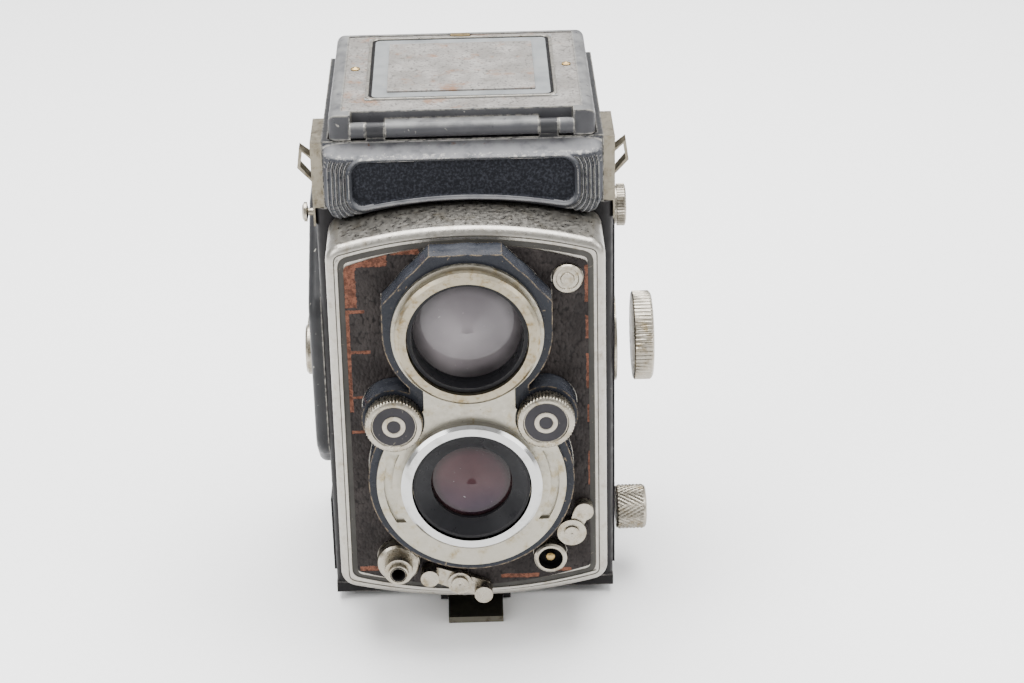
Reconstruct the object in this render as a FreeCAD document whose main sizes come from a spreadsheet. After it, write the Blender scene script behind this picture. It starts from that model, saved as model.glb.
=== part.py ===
"""Twin lens reflex camera for roll film, as a parametric FreeCAD document.

Frame: +Z up, +X to the right for someone facing the lenses, +Y from the lenses to the film.
The origin is the mouth of the tripod socket, level with the feet. All lengths are millimetres.
"""
import FreeCAD, Part
import Sketcher
import math
import os
import re

Vector = FreeCAD.Vector
Rotation = FreeCAD.Rotation

SIZES = {
    # body and back
    "body_half": 38.0, "front": -31.0, "rear": 31.0, "body_top": 117.0, "wall": 2.4,
    "base_under": 2.4, "door_skin": 3.0, "corner_round": 2.5, "gap": 0.05,
    "door_axis_y": 29.6, "door_axis_z": 114.6, "door_top": 112.6, "door_barrel": 1.5,
    "foot_x": 29.0, "foot_y": 23.0, "foot_radius": 3.6,
    "socket_radius": 3.175, "socket_flange": 8.0, "socket_neck": 6.0,
    "latch_half": 7.4, "latch_axis_y": -32.3, "latch_axis_z": 1.2, "latch_barrel": 1.1,
    "latch_reach": 12.5, "latch_skin": 1.4, "latch_lug": 2.0,
    # lenses
    "taking_z": 53.1, "lens_pitch": 42.0, "tube_radius": 20.0,
    "bayonet_outer": 18.0, "bayonet_inner": 15.25, "bayonet_front": -65.0,
    "face_front": -62.0, "housing_front": -60.5, "housing_skin": 2.2,
    "taking_rim": 26.3, "viewing_rim": 21.2, "peak_z": 116.1, "peak_half": 9.0,
    "taking_face": 24.2, "viewing_face": 19.0, "neck_half": 15.0, "face_neck": 11.5,
    "dial_x": 19.1, "dial_z": 71.4, "dial_radius": 7.3, "dial_boss": 8.2, "dial_shaft": 2.0,
    "barrel_radius": 15.0, "cell_radius": 13.0,
    # front standard and its panel
    "panel_front": -52.9, "panel_back": -33.0, "panel_skin": 1.5,
    "panel_top_half": 34.8, "panel_bottom_half": 35.2, "panel_top": 114.8, "panel_bottom": 18.2,
    "panel_top_rise": 5.3, "panel_bottom_drop": 5.1, "panel_round": 4.5, "panel_rim": 1.3,
    "panel_shoulder": 2.0, "lens_seat": -43.5, "standard_back": -41.5,
    "pillar_x": 28.0, "pillar_low": 30.0, "pillar_high": 100.0, "pillar_radius": 3.0,
    "arm_inner": 29.5, "arm_outer": 31.5, "arm_half": 4.0,
    "leather_skin": 0.6, "line_skin": 0.4, "line_inset": 2.3, "line_width": 0.7,
    "leather_inset": 4.5,
    "release_x": -19.7, "release_z": 26.9, "flash_x": 20.05, "flash_z": 26.9,
    "plug_x": 25.2, "plug_z": 106.2, "lock_x": 25.7, "lock_z": 33.8, "tip_x": 28.8, "tip_z": 40.7,
    "sync_x": -3.9, "sync_z": 20.0,
    # focusing
    "focus_y": -14.0, "focus_z": 70.4, "shaft_radius": 2.0, "cam_low": 5.0, "cam_rise": 7.0,
    "cam_turn": 300.0, "cam_lead_in": 20.0, "cam_inner": 32.2, "cam_outer": 34.2,
    "follower_radius": 1.5, "follower_gap": 0.12,
    "focus_collar": 11.2, "focus_rim": 12.0, "collar_start": 39.6, "rim_start": 44.1, "knob_end": 49.5,
    # film transport
    "gate_half": 28.0, "gate_back": 24.5, "gate_front": 22.5, "gate_bottom": 22.3, "gate_top": 80.8,
    "spool_y": 15.2, "spool_z": 96.3, "spool_flange": 12.3, "spool_core": 5.8, "spool_half": 31.5,
    "supply_y": -16.0, "supply_z": 18.3, "roller_y": 26.1, "roller_low": 20.3, "roller_high": 82.9,
    "roller_radius": 1.6, "lower_knob": 6.2, "upper_knob": 5.85, "pull": 5.0, "key_radius": 2.5,
    "crank_y": -6.0, "crank_z": 65.0, "crank_gear": 14.0, "spool_gear": 10.0, "tooth_gap": 0.1,
    "gear_in": 38.3, "gear_out": 40.1, "cover_out": 41.6, "cover_skin": 1.2, "hub_radius": 7.0,
    "arm_in": 41.9, "arm_out": 44.2, "crank_reach": 26.0, "crank_width": 8.0,
    "paddle_length": 13.0, "paddle_width": 4.6,
    "reset_y": -14.0, "reset_z": 109.0, "mirror_rise": 99.2, "mirror_half": 27.0,
    # finder hood
    "hood_half": 35.6, "hood_top": 135.2, "hood_wall": 1.6, "hinge_y": -31.0, "hinge_z": 138.0,
    "hinge_radius": 2.0, "pin_radius": 0.8, "knuckle_in": 19.4, "knuckle_out": 24.2,
    "lid_half": 33.6, "lid_front": -31.5, "lid_rear": 31.4, "lid_under": 135.6, "lid_top": 142.2,
    "lid_wall": 1.2, "lid_ceiling": 140.2, "lid_floor": 141.3, "recess_half": 28.0,
    "recess_back": -28.6, "lid_round": 2.2,
    "cloth_half": 30.2, "cloth_front": -28.0, "cloth_rear": 28.4, "cloth_top": 141.9,
    "flap_half": 24.6, "flap_front": -20.6, "flap_rear": 26.3, "flap_top": 142.1,
    "inset_half": 19.0, "inset_front": -15.6, "inset_rear": 20.6, "inset_top": 142.5,
    "leaf_axis_x": 32.6, "leaf_z": 126.0, "leaf_barrel": 1.1, "leaf_skin": 0.8, "leaf_reach": 30.0,
    "leaf_front": -26.0, "leaf_rear": 26.3, "rear_leaf_y": 27.6, "rear_leaf_z": 129.4,
    "rear_leaf_half": 30.5, "rear_leaf_reach": 24.0,
    "screen_under": 121.0, "screen_top": 123.0, "screen_half": 29.0, "mask_travel": 2.5,
    "name_front": -40.0, "name_top_front": -37.0, "name_brow": 132.5, "name_ridge": 134.9,
    "name_low": 116.2, "name_low_half": 32.6,
    "name_half": 35.2, "name_rise": 4.7, "name_skin": 1.6,
    "plate_out": 38.5, "lug_y": -23.0, "lug_z": 126.0, "lug_reach": 42.2,
}

doc = FreeCAD.newDocument("TwinLensReflex")
sheet = doc.addObject("Spreadsheet::Sheet", "Sizes")
for row, (alias, number) in enumerate(SIZES.items(), start=1):
    sheet.set(f"A{row}", alias)
    sheet.set(f"B{row}", str(number))
    sheet.setAlias(f"B{row}", alias)
doc.recompute()

NODES = []


def formula(text):
    """Turn 'front + wall' into the sheet's own expression 'Sizes.front + Sizes.wall'."""
    return re.sub(r"[a-z_]+", lambda word: f"Sizes.{word[0]}" if word[0] in SIZES else word[0], text)


def measure(text):
    """The present value of a formula, for the first drawing of a sketch."""
    result = sheet.evalExpression(formula(text))
    return float(getattr(result, "Value", result))


def bind(thing, **formulas):
    for prop, text in formulas.items():
        thing.setExpression(prop, formula(text))


def place(thing, x="0", y="0", z="0", turn=None):
    thing.Placement = FreeCAD.Placement(Vector(0, 0, 0), turn or Rotation())
    for axis, text in zip("xyz", (x, y, z)):
        thing.setExpression(f"Placement.Base.{axis}", formula(text))
    return thing


def node(thing, label):
    """Mark an object as a finished sub-part; its label names its file."""
    thing.Label = label
    NODES.append(thing)
    return thing


# ---- plain solids and booleans

def block(name, x0, x1, y0, y1, z0, z1):
    box = doc.addObject("Part::Box", name)
    bind(box, Length=f"({x1}) - ({x0})", Width=f"({y1}) - ({y0})", Height=f"({z1}) - ({z0})")
    return place(box, x0, y0, z0)


ALONG = {"X": Rotation(Vector(0, 1, 0), 90), "Y": Rotation(Vector(1, 0, 0), -90), "Z": Rotation()}


def rod(name, axis, radius, start, end, a, b):
    """A cylinder along an axis, from start to end; a and b are its two other coordinates."""
    cylinder = doc.addObject("Part::Cylinder", name)
    bind(cylinder, Radius=radius, Height=f"({end}) - ({start})")
    spot = {"X": (start, a, b), "Y": (a, start, b), "Z": (a, b, start)}[axis]
    return place(cylinder, *spot, turn=ALONG[axis])


def join(name, *shapes):
    fuse = doc.addObject("Part::MultiFuse", name)
    fuse.Shapes = list(shapes)
    fuse.Refine = True
    return fuse


def cut(name, base, *tools):
    for number, tool in enumerate(tools):
        result = doc.addObject("Part::Cut", name if number == 0 else f"{name}{number}")
        result.Base = base
        result.Tool = tool
        base = result
    return base


def common(name, first, second):
    result = doc.addObject("Part::Common", name)
    result.Base = first
    result.Tool = second
    return result


def group(name, *shapes):
    """Separate solids that share one node."""
    compound = doc.addObject("Part::Compound", name)
    compound.Links = list(shapes)
    return compound


# ---- sketched solids

def new_sketch(body, name, plane):
    sketch = body.newObject("Sketcher::SketchObject", name)
    origin_plane = next(f for f in body.Origin.OriginFeatures if f.Role == plane)
    sketch.AttachmentSupport = [(origin_plane, "")]
    sketch.MapMode = "FlatFace"
    return sketch


def arc_between(start, end, rise):
    """An arc that stands 'rise' to the left of the line from start to end (to its right if negative)."""
    chord = end - start
    radius = chord.Length ** 2 / (8 * abs(rise)) + abs(rise) / 2
    left = Vector(-chord.y, chord.x, 0).normalize()
    centre = (start + end) * 0.5 - left * math.copysign(radius - abs(rise), rise)
    first, last = (end, start) if rise > 0 else (start, end)
    turns = [math.atan2(spot.y - centre.y, spot.x - centre.x) for spot in (first, last)]
    return Part.ArcOfCircle(Part.Circle(centre, Vector(0, 0, 1), radius), *turns)


def pin_corner(sketch, geometry, vertex, corner):
    """Bind a corner's two coordinates to the sheet."""
    for kind, text in zip(("DistanceX", "DistanceY"), corner):
        number = sketch.addConstraint(
            Sketcher.Constraint(kind, -1, 1, geometry, vertex, measure(text)))
        sketch.setExpression(f"Constraints[{number}]", formula(text))


def draw(sketch, corners):
    """A closed outline. A corner is (u, v), or (u, v, rise) where an arc goes on from it."""
    spots = [Vector(measure(c[0]), measure(c[1]), 0) for c in corners]
    ends = []
    for i, corner in enumerate(corners):
        start, end = spots[i], spots[(i + 1) % len(spots)]
        if len(corner) == 2:
            index = sketch.addGeometry(Part.LineSegment(start, end))
            ends.append((index, 1, 2))
            continue
        rise = measure(corner[2])
        index = sketch.addGeometry(arc_between(start, end, rise))
        ends.append((index, 2, 1) if rise > 0 else (index, 1, 2))
    for i, (index, first, last) in enumerate(ends):
        after, after_first, _ = ends[(i + 1) % len(ends)]
        sketch.addConstraint(Sketcher.Constraint("Coincident", index, last, after, after_first))
        pin_corner(sketch, index, first, corners[i])
    for i, corner in enumerate(corners):
        if len(corner) == 3:
            u0, v0, rise = corner
            u1, v1 = corners[(i + 1) % len(corners)][:2]
            chord = f"((({u1}) - ({u0}))^2 + (({v1}) - ({v0}))^2)"
            radius = f"{chord} / (8 * abs({rise})) + abs({rise}) / 2"
            number = sketch.addConstraint(Sketcher.Constraint("Radius", ends[i][0], measure(radius)))
            sketch.setExpression(f"Constraints[{number}]", formula(radius))


def padded(name, plane, corners, depth, x="0", y="0", z="0"):
    """A body with one padded sketch; XZ pads towards the lenses, YZ to +X, XY upward."""
    body = doc.addObject("PartDesign::Body", name)
    sketch = new_sketch(body, name + "Sketch", plane)
    draw(sketch, corners)
    pad = body.newObject("PartDesign::Pad", name + "Pad")
    pad.Profile = sketch
    bind(pad, Length=depth)
    sketch.Visibility = False
    doc.recompute()
    return place(body, x, y, z)


TURNED = {
    "front": Rotation(Vector(0, 0, 1), 180), "right": Rotation(Vector(0, 0, 1), -90),
    "left": Rotation(Vector(0, 0, 1), 90), "up": Rotation(Vector(1, 0, 0), 90),
}


def turned(name, towards, profile, x="0", y="0", z="0"):
    """A body turned on a lathe: profile corners are (radius, distance along the axis)."""
    body = doc.addObject("PartDesign::Body", name)
    sketch = new_sketch(body, name + "Sketch", "XY_Plane")
    draw(sketch, profile)
    revolution = body.newObject("PartDesign::Revolution", name + "Turn")
    revolution.Profile = sketch
    revolution.ReferenceAxis = (sketch, ["V_Axis"])
    revolution.Angle = 360
    doc.recompute()
    return place(body, x, y, z, TURNED[towards])


def rounded(body, radius, pick):
    """Fillet the edges of a body that pick(middle, direction) accepts."""
    base = body.Group[-1]
    fillet = body.newObject("PartDesign::Fillet", body.Name + "Round")
    chosen = []
    for number, edge in enumerate(base.Shape.Edges, start=1):
        first, last = edge.ParameterRange
        middle = edge.valueAt((first + last) / 2)
        if pick(middle, edge.tangentAt((first + last) / 2)):
            chosen.append(f"Edge{number}")
    fillet.Base = (base, chosen)
    bind(fillet, Radius=radius)
    doc.recompute()
    return body


def ring(inner, outer, start, end):
    return [(inner, start), (outer, start), (outer, end), (inner, end)]


# ---- body, back and base

def make_body_shell():
    outer = block("ShellBlock", "-body_half", "body_half", "front", "rear - door_skin",
                  "base_under + door_skin", "body_top")
    edges = doc.addObject("Part::Fillet", "ShellRound")
    edges.Base = outer
    doc.recompute()
    upright = []
    for number, edge in enumerate(outer.Shape.Edges, start=1):
        middle = edge.CenterOfMass
        vertical = abs(edge.tangentAt(edge.ParameterRange[0]).z) > 0.99
        if vertical and middle.y < 0:
            upright.append((number, SIZES["corner_round"], SIZES["corner_round"]))
    edges.Edges = upright
    inside = block("ShellInside", "wall - body_half", "body_half - wall", "front + wall",
                   "rear", "base_under", "body_top - wall")
    screen = block("ShellWindow", "-gate_half", "gate_half", "-27", "26", "body_top - 2*wall",
                   "body_top + wall")
    holes = [rod(f"TubeHole{i}", "Y", "tube_radius + gap", "front - 1", "front + wall + 1", "0", z)
             for i, z in enumerate(("taking_z", "taking_z + lens_pitch"))]
    for i, side in enumerate(("", "-1*")):
        low, high = sorted((f"{side}(arm_inner - 0.3)", f"{side}(arm_outer + 3.2)"), key=measure)
        holes.append(block(f"ArmSlot{i}", low, high, "front - 1", "front + wall + 1",
                           "focus_z - arm_half - 0.4", "focus_z + arm_half + 0.4"))
    holes.append(rod("FocusHole", "X", "shaft_radius + 1", "body_half - wall - 1", "body_half + 1",
                     "focus_y", "focus_z"))
    for i, (y, z) in enumerate((("supply_y", "supply_z"), ("spool_y", "spool_z"))):
        holes.append(rod(f"KeyHole{i}", "X", "key_radius + gap", "body_half - wall - 1",
                         "body_half + 1", y, z))
    holes.append(rod("DriveHole", "X", "key_radius + gap", "-body_half - 1",
                     "wall - body_half + 1", "spool_y", "spool_z"))
    holes.append(rod("CrankHole", "X", "key_radius + gap", "-body_half - 1",
                     "wall - body_half + 1", "crank_y", "crank_z"))
    holes.append(rod("ResetHole", "X", "1 + gap", "-body_half - 1", "wall - body_half + 1",
                     "reset_y", "reset_z"))
    shell = cut("ShellCut", edges, inside, screen, *holes)
    lugs = [join("ShellKnuckleWeb%d" % i,
                 block(f"ShellWeb{i}", f"{x} - 5", f"{x} + 5", "rear - door_skin", "door_axis_y",
                       "door_axis_z - 1", "door_axis_z + 1"),
                 rod(f"ShellBarrel{i}", "X", "door_barrel", f"{x} - 5", f"{x} + 5",
                     "door_axis_y", "door_axis_z"))
            for i, x in enumerate(("-27", "27"))]
    body = join("ShellWithLugs", shell, *lugs)
    bore = rod("ShellHingeBore", "X", "pin_radius", "-body_half", "body_half",
               "door_axis_y", "door_axis_z")
    node(cut("BodyShell", body, bore), "body_shell")


def make_film_gate():
    plate = block("GatePlate", "wall - body_half", "body_half - wall", "gate_front", "gate_back",
                  "gate_bottom", "gate_top")
    walls = block("GateBox", "-gate_half - 1.2", "gate_half + 1.2", "-8", "gate_front",
                  "taking_z - gate_half - 1.2", "taking_z + gate_half - 1.2")
    window = block("GateWindow", "-gate_half", "gate_half", "-9", "gate_back + 1",
                   "taking_z - gate_half", "taking_z + gate_half - 2.4")
    gate = cut("GateCut", join("GateSolid", plate, walls), window)
    node(gate, "film_gate")
    for label, z in (("lower_film_roller", "roller_low"), ("upper_film_roller", "roller_high")):
        roller = turned(label.title().replace("_", ""), "right",
                        ring("pin_radius", "roller_radius", "0", "66"), "-33", "roller_y", z)
        node(roller, label)


def make_back_door():
    panel = block("DoorPanel", "-body_half", "body_half", "rear - door_skin", "rear",
                  "base_under", "door_top")
    base = block("DoorBase", "-body_half", "body_half", "front", "rear", "base_under",
                 "base_under + door_skin")
    solid = join("DoorSolid", panel, base)
    doc.recompute()
    edges = doc.addObject("Part::Fillet", "DoorRound")
    edges.Base = solid
    chosen = []
    for number, edge in enumerate(solid.Shape.Edges, start=1):
        spot = edge.CenterOfMass
        along_x = edge.BoundBox.XLength > 1.9 * SIZES["body_half"]
        at_heel = spot.y > SIZES["rear"] - 0.1 and spot.z < SIZES["base_under"] + 0.1
        at_side = abs(spot.x) > SIZES["body_half"] - 0.1 and spot.y > SIZES["rear"] - 0.1
        if (along_x and at_heel) or (at_side and not along_x):
            chosen.append((number, 2.0, 2.0))
    edges.Edges = chosen
    knuckle = join("DoorKnuckle",
                   block("DoorWeb", "-21.8", "21.8", "door_axis_y - 1.2", "door_axis_y + 1.2",
                         "door_top - 1", "door_axis_z"),
                   rod("DoorBarrel", "X", "door_barrel", "-21.8", "21.8", "door_axis_y", "door_axis_z"))
    lugs = []
    for i, (low, high) in enumerate((("-latch_half - 0.2 - latch_lug", "-latch_half - 0.2"),
                                     ("latch_half + 0.2", "latch_half + 0.2 + latch_lug"))):
        lugs.append(block(f"LatchWeb{i}", low, high, "latch_axis_y", "front + 1",
                          "latch_axis_z - 0.5", "base_under + door_skin - 1"))
        lugs.append(rod(f"LatchLug{i}", "X", "latch_barrel", low, high, "latch_axis_y", "latch_axis_z"))
    body = join("DoorWithLugs", edges, knuckle, *lugs)
    bore = rod("DoorHingeBore", "X", "pin_radius + gap", "-body_half", "body_half",
               "door_axis_y", "door_axis_z")
    latch_bore = rod("DoorLatchBore", "X", "0.5", "-12", "12", "latch_axis_y", "latch_axis_z")
    socket = rod("SocketHole", "Z", "socket_neck", "0", "base_under + door_skin + 1", "0", "0")
    clear = block("LatchClear", "-latch_half - 0.2", "latch_half + 0.2", "front - 1", "front + 0.4",
                  "0", "base_under + 0.9")
    door = cut("BackDoor", body, bore, latch_bore, socket, clear)
    latch_pin = rod("LatchPin", "X", "0.5", "-latch_half - latch_lug", "latch_half + latch_lug",
                    "latch_axis_y", "latch_axis_z")
    below = block("DoorSplit", "-body_half - 1", "body_half + 1", "front - 5", "rear - door_skin",
                  "-5", "base_under + door_skin + 1")
    node(group("BackDoorAndPin", cut("DoorWall", door, below), common("DoorFloor", door, below),
               latch_pin), "back_door")
    feet = [turned(f"Foot{i}", "up", [("0", "0"), ("foot_radius - 0.6", "0"), ("foot_radius", "0.6"),
                                      ("foot_radius", "base_under"), ("0", "base_under")], x, y)
            for i, (x, y) in enumerate((("-foot_x", "-foot_y"), ("foot_x", "-foot_y"),
                                        ("-foot_x", "foot_y"), ("foot_x", "foot_y")))]
    node(group("Feet", *feet), "feet")
    roof = "base_under + door_skin + 0.8"
    bush = turned("TripodBush", "up",
                  [("socket_radius", "0"), ("socket_flange", "0"), ("socket_flange", "base_under"),
                   ("socket_neck", "base_under"), ("socket_neck", roof), ("0", roof),
                   ("0", "base_under + door_skin"), ("socket_radius", "base_under + door_skin")])
    node(bush, "tripod_bush")


def make_hinge_pins():
    """Every fixed pin that something turns on: back door, hood lid, hood leaves and film rollers."""
    pins = [rod("BackHingePin", "X", "pin_radius", "-32", "32", "door_axis_y", "door_axis_z"),
            rod("HoodPin", "X", "pin_radius", "-knuckle_out - 2", "knuckle_out + 2",
                "hinge_y", "hinge_z"),
            rod("RearLeafPin", "X", "0.5", "hood_wall - hood_half", "hood_half - hood_wall",
                "rear_leaf_y", "rear_leaf_z")]
    pins += [rod(f"LeafPin{i}", "Y", "0.5", "front + hood_wall", "rear - hood_wall",
                 f"{side}leaf_axis_x", "leaf_z") for i, side in enumerate(("-1*", ""))]
    pins += [rod(f"RollerPin{i}", "X", "pin_radius - gap", "wall - body_half", "body_half - wall",
                 "roller_y", z) for i, z in enumerate(("roller_low", "roller_high"))]
    node(group("HingePins", *pins), "hinge_pins")


def make_back_latch():
    plate = block("LatchPlate", "-latch_half", "latch_half", "latch_axis_y - latch_reach",
                  "latch_axis_y", "latch_axis_z - latch_skin/2", "latch_axis_z + latch_skin/2")
    barrel = rod("LatchBarrel", "X", "latch_barrel", "-latch_half", "latch_half",
                 "latch_axis_y", "latch_axis_z")
    lip = block("LatchLip", "-latch_half", "latch_half", "latch_axis_y - latch_reach",
                "latch_axis_y - latch_reach + 1.2", "0.1", "latch_axis_z + latch_skin/2")
    bore = rod("LatchBore", "X", "0.5 + gap", "-12", "12", "latch_axis_y", "latch_axis_z")
    node(cut("BackLatch", join("LatchSolid", plate, barrel, lip), bore), "back_latch")


def make_pressure_plate():
    plate = block("PressurePlateBlock", "-32", "32", "gate_back + 0.3", "gate_back + 1.5",
                  "23", "roller_high - 2.6")
    springs = [block(f"PressureSpring{i}", f"{x} - 4", f"{x} + 4", "gate_back + 1.5",
                     "rear - door_skin", "taking_z - 4", "taking_z + 4")
               for i, x in enumerate(("-16", "16"))]
    node(group("PressurePlate", plate, *springs), "pressure_plate")


# ---- film transport

def make_spool_and_drive():
    spool = turned("Spool", "right",
                   [("key_radius + gap", "0"), ("spool_flange", "0"), ("spool_flange", "0.8"),
                    ("spool_core", "0.8"), ("spool_core", "2*spool_half - 0.8"),
                    ("spool_flange", "2*spool_half - 0.8"), ("spool_flange", "2*spool_half"),
                    ("key_radius + gap", "2*spool_half")],
                   "-spool_half", "spool_y", "spool_z")
    node(spool, "take_up_spool")
    for label, knob, y, z, start, end in (
            ("lower_spool_knob", "lower_knob", "supply_y", "supply_z", "39.5", "48"),
            ("upper_spool_knob", "upper_knob", "spool_y", "spool_z", "39.5", "44.2")):
        profile = [("0", "spool_half - 4.5"), ("1.6", "spool_half - 4.5"),
                   ("key_radius", "spool_half - 2.5"), ("key_radius", "39"),
                   (f"{knob} - 1", start), (f"{knob} - 0.3", start), (knob, f"{start} + 0.4"),
                   (knob, f"{end} - 0.6"), (f"{knob} - 0.6", end), ("0", end)]
        node(turned(label.title().replace("_", ""), "right", profile, "0", y, z), label)


def make_wall_bushes():
    """Rings and studs set in the side walls: knob collars, focusing scale ring and bush, studs."""
    idler_y, idler_z, _ = idler_place()
    parts = [turned(f"KnobCollar{i}", "right", ring("key_radius + gap", reach, "body_half", "38.9"),
                    "0", y, z)
             for i, (y, z, reach) in enumerate((("supply_y", "supply_z", "5"),
                                                ("spool_y", "spool_z", "4.8")))]
    parts.append(turned("FocusScale", "right",
                        ring("shaft_radius + 1", "focus_collar + 0.8", "body_half",
                             "collar_start - 0.1"), "0", "focus_y", "focus_z"))
    parts.append(turned("FocusBush", "right",
                        ring("shaft_radius + gap", "shaft_radius + 1", "body_half - wall",
                             "collar_start - 0.1"), "0", "focus_y", "focus_z"))
    parts.append(rod("SupplyPivot", "X", "key_radius", "wall - body_half", "-spool_half + 1",
                     "supply_y", "supply_z"))
    parts.append(rod("IdlerStud", "X", "1.5", "-gear_out - 0.2", "-body_half", idler_y, idler_z))
    node(group("WallBushes", *parts), "wall_bushes")


def toothed_wheel(name, pitch, teeth, y, z, bore, phase):
    """A spur wheel between the body's side and the cover, with teeth that stay clear of its mate."""
    radius = measure(pitch)
    depth = 0.45 * math.pi * 2 * radius / teeth
    tip = radius - SIZES["tooth_gap"]
    root = tip - depth
    outline = []
    for tooth in range(teeth):
        for share, reach in ((0.0, root), (0.3, tip), (0.55, tip), (0.85, root)):
            angle = 2 * math.pi * (tooth + share + phase) / teeth
            outline.append(Vector(0, reach * math.cos(angle), reach * math.sin(angle)))
    outline.append(outline[0])
    thickness = SIZES["gear_out"] - SIZES["gear_in"]
    wheel = Part.Face(Part.makePolygon(outline)).extrude(Vector(thickness, 0, 0))
    hole = Part.makeCylinder(bore, thickness, Vector(0, 0, 0), Vector(1, 0, 0))
    feature = doc.addObject("Part::Feature", name)
    feature.Shape = wheel.cut(hole)
    return place(feature, "-gear_out", y, z)


def idler_place():
    """The idler sits on the line between the crank and the spool, and fills the gap between them."""
    centre = Vector(0, SIZES["crank_y"], SIZES["crank_z"])
    span = centre.distanceToPoint(Vector(0, SIZES["spool_y"], SIZES["spool_z"]))
    pitch = (span - SIZES["crank_gear"] - SIZES["spool_gear"]) / 2
    share = (SIZES["crank_gear"] + pitch) / span
    return (f"crank_y + (spool_y - crank_y) * {share:.5f}",
            f"crank_z + (spool_z - crank_z) * {share:.5f}", f"{pitch:.5f}")


def make_drive_gears():
    idler_y, idler_z, idler_pitch = idler_place()
    key = SIZES["key_radius"]
    node(toothed_wheel("IdlerGear", idler_pitch, 14, idler_y, idler_z,
                       1.5 + SIZES["gap"], 0.2), "idler_gear")
    wheel = toothed_wheel("SpoolGear", "spool_gear", 20, "spool_y", "spool_z", key, 0.4)
    shaft = rod("SpoolDrive", "X", "key_radius", "-gear_out", "-spool_half + 2.5",
                "spool_y", "spool_z")
    node(join("SpoolDriveGear", wheel, shaft), "spool_drive_gear")


def make_gear_cover():
    outline = [("-29", "46"), ("-29", "88"), ("0", "108"), ("29.5", "108"), ("29.5", "80"),
               ("18", "36"), ("-18", "36")]
    outer = padded("CoverOuter", "YZ_Plane", outline, "cover_out - body_half", "-cover_out")
    rounded(outer, "8", lambda _, way: abs(way.x) > 0.99)
    rounded(outer, "2.2", lambda middle, _: middle.x < 0.01)
    idler_y, idler_z, idler_pitch = idler_place()
    wells = [rod(f"CoverWell{i}", "X", f"{pitch} + 0.8", "-cover_out + cover_skin", "-body_half", y, z)
             for i, (pitch, y, z) in enumerate((("crank_gear", "crank_y", "crank_z"),
                                                (idler_pitch, idler_y, idler_z),
                                                ("spool_gear", "spool_y", "spool_z")))]
    hub = rod("CoverHubHole", "X", "key_radius + gap", "-cover_out - 1", "-body_half",
              "crank_y", "crank_z")
    node(cut("GearCover", outer, hub, *wells), "gear_cover")


def make_crank():
    hub = turned("CrankHub", "left",
                 [("0", "body_half - wall"), ("key_radius", "body_half - wall"),
                  ("key_radius", "cover_out + 0.1"), ("hub_radius", "cover_out + 0.1"),
                  ("hub_radius", "arm_out - 0.6"), ("hub_radius - 0.6", "arm_out"), ("0", "arm_out")],
                 "0", "crank_y", "crank_z")
    arm = block("CrankArm", "-arm_out", "-arm_in", "crank_y", "crank_y + crank_reach",
                "crank_z - crank_width/2", "crank_z + crank_width/2")
    slot = block("CrankSlot", "-arm_out - 1", "-arm_in + 1", "crank_y + 8.2",
                 "crank_y + crank_reach - 1.8", "crank_z - paddle_width/2 - 0.15",
                 "crank_z + paddle_width/2 + 0.15")
    bore = rod("CrankPinBore", "Z", "0.5", "crank_z - crank_width", "crank_z + crank_width",
               "-(arm_in + arm_out)/2", "crank_y + crank_reach - 3.3")
    crank = cut("CrankSolid", join("CrankBlank", hub, arm), slot, bore)
    pin = rod("CrankPin", "Z", "0.5", "crank_z - crank_width/2", "crank_z + crank_width/2",
              "-(arm_in + arm_out)/2", "crank_y + crank_reach - 3.3")
    gear = toothed_wheel("CrankGear", "crank_gear", 28, "crank_y", "crank_z", SIZES["key_radius"], 0)
    node(group("CrankAndPin", crank, pin, gear), "winding_crank")
    paddle = block("Paddle", "-arm_out + 0.2", "-arm_in - 0.2", "crank_y + crank_reach - 3.3 - paddle_length",
                   "crank_y + crank_reach - 3.3", "crank_z - paddle_width/2", "crank_z + paddle_width/2")
    knuckle = rod("PaddleKnuckle", "Z", "(arm_out - arm_in)/2 - 0.2", "crank_z - paddle_width/2",
                  "crank_z + paddle_width/2", "-(arm_in + arm_out)/2", "crank_y + crank_reach - 3.3")
    hole = rod("PaddleBore", "Z", "0.5 + gap", "crank_z - 9", "crank_z + 9",
               "-(arm_in + arm_out)/2", "crank_y + crank_reach - 3.3")
    node(cut("CrankHandle", join("PaddleSolid", paddle, knuckle), hole), "crank_handle")


def make_reset_button():
    profile = [("0", "body_half - wall - 1.5"), ("1", "body_half - wall - 1.5"), ("1", "41"),
               ("2.6", "41.3"), ("2.6", "42"), ("1.8", "42.5"), ("0", "42.5")]
    node(turned("ResetButton", "left", profile, "0", "reset_y", "reset_z"), "counter_reset_button")


# ---- focusing

def make_focus_drive():
    knob = turned("FocusKnob", "right",
                  [("0", "collar_start"), ("focus_collar", "collar_start"),
                   ("focus_collar", "rim_start"), ("focus_rim - 0.4", "rim_start"),
                   ("focus_rim", "rim_start + 0.4"), ("focus_rim", "knob_end - 0.5"),
                   ("focus_rim - 0.5", "knob_end"), ("focus_rim - 2", "knob_end"),
                   ("focus_rim - 2.6", "knob_end - 0.5"), ("0", "knob_end - 0.5")],
                  "0", "focus_y", "focus_z")
    node(knob, "focus_knob")
    shaft = rod("FocusShaft", "X", "shaft_radius", "-cam_outer", "collar_start", "focus_y", "focus_z")
    cams = [make_cam("LeftCam", "-cam_outer"), make_cam("RightCam", "cam_inner")]
    node(group("FocusCamshaft", shaft, *cams), "focus_camshaft")


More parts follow.
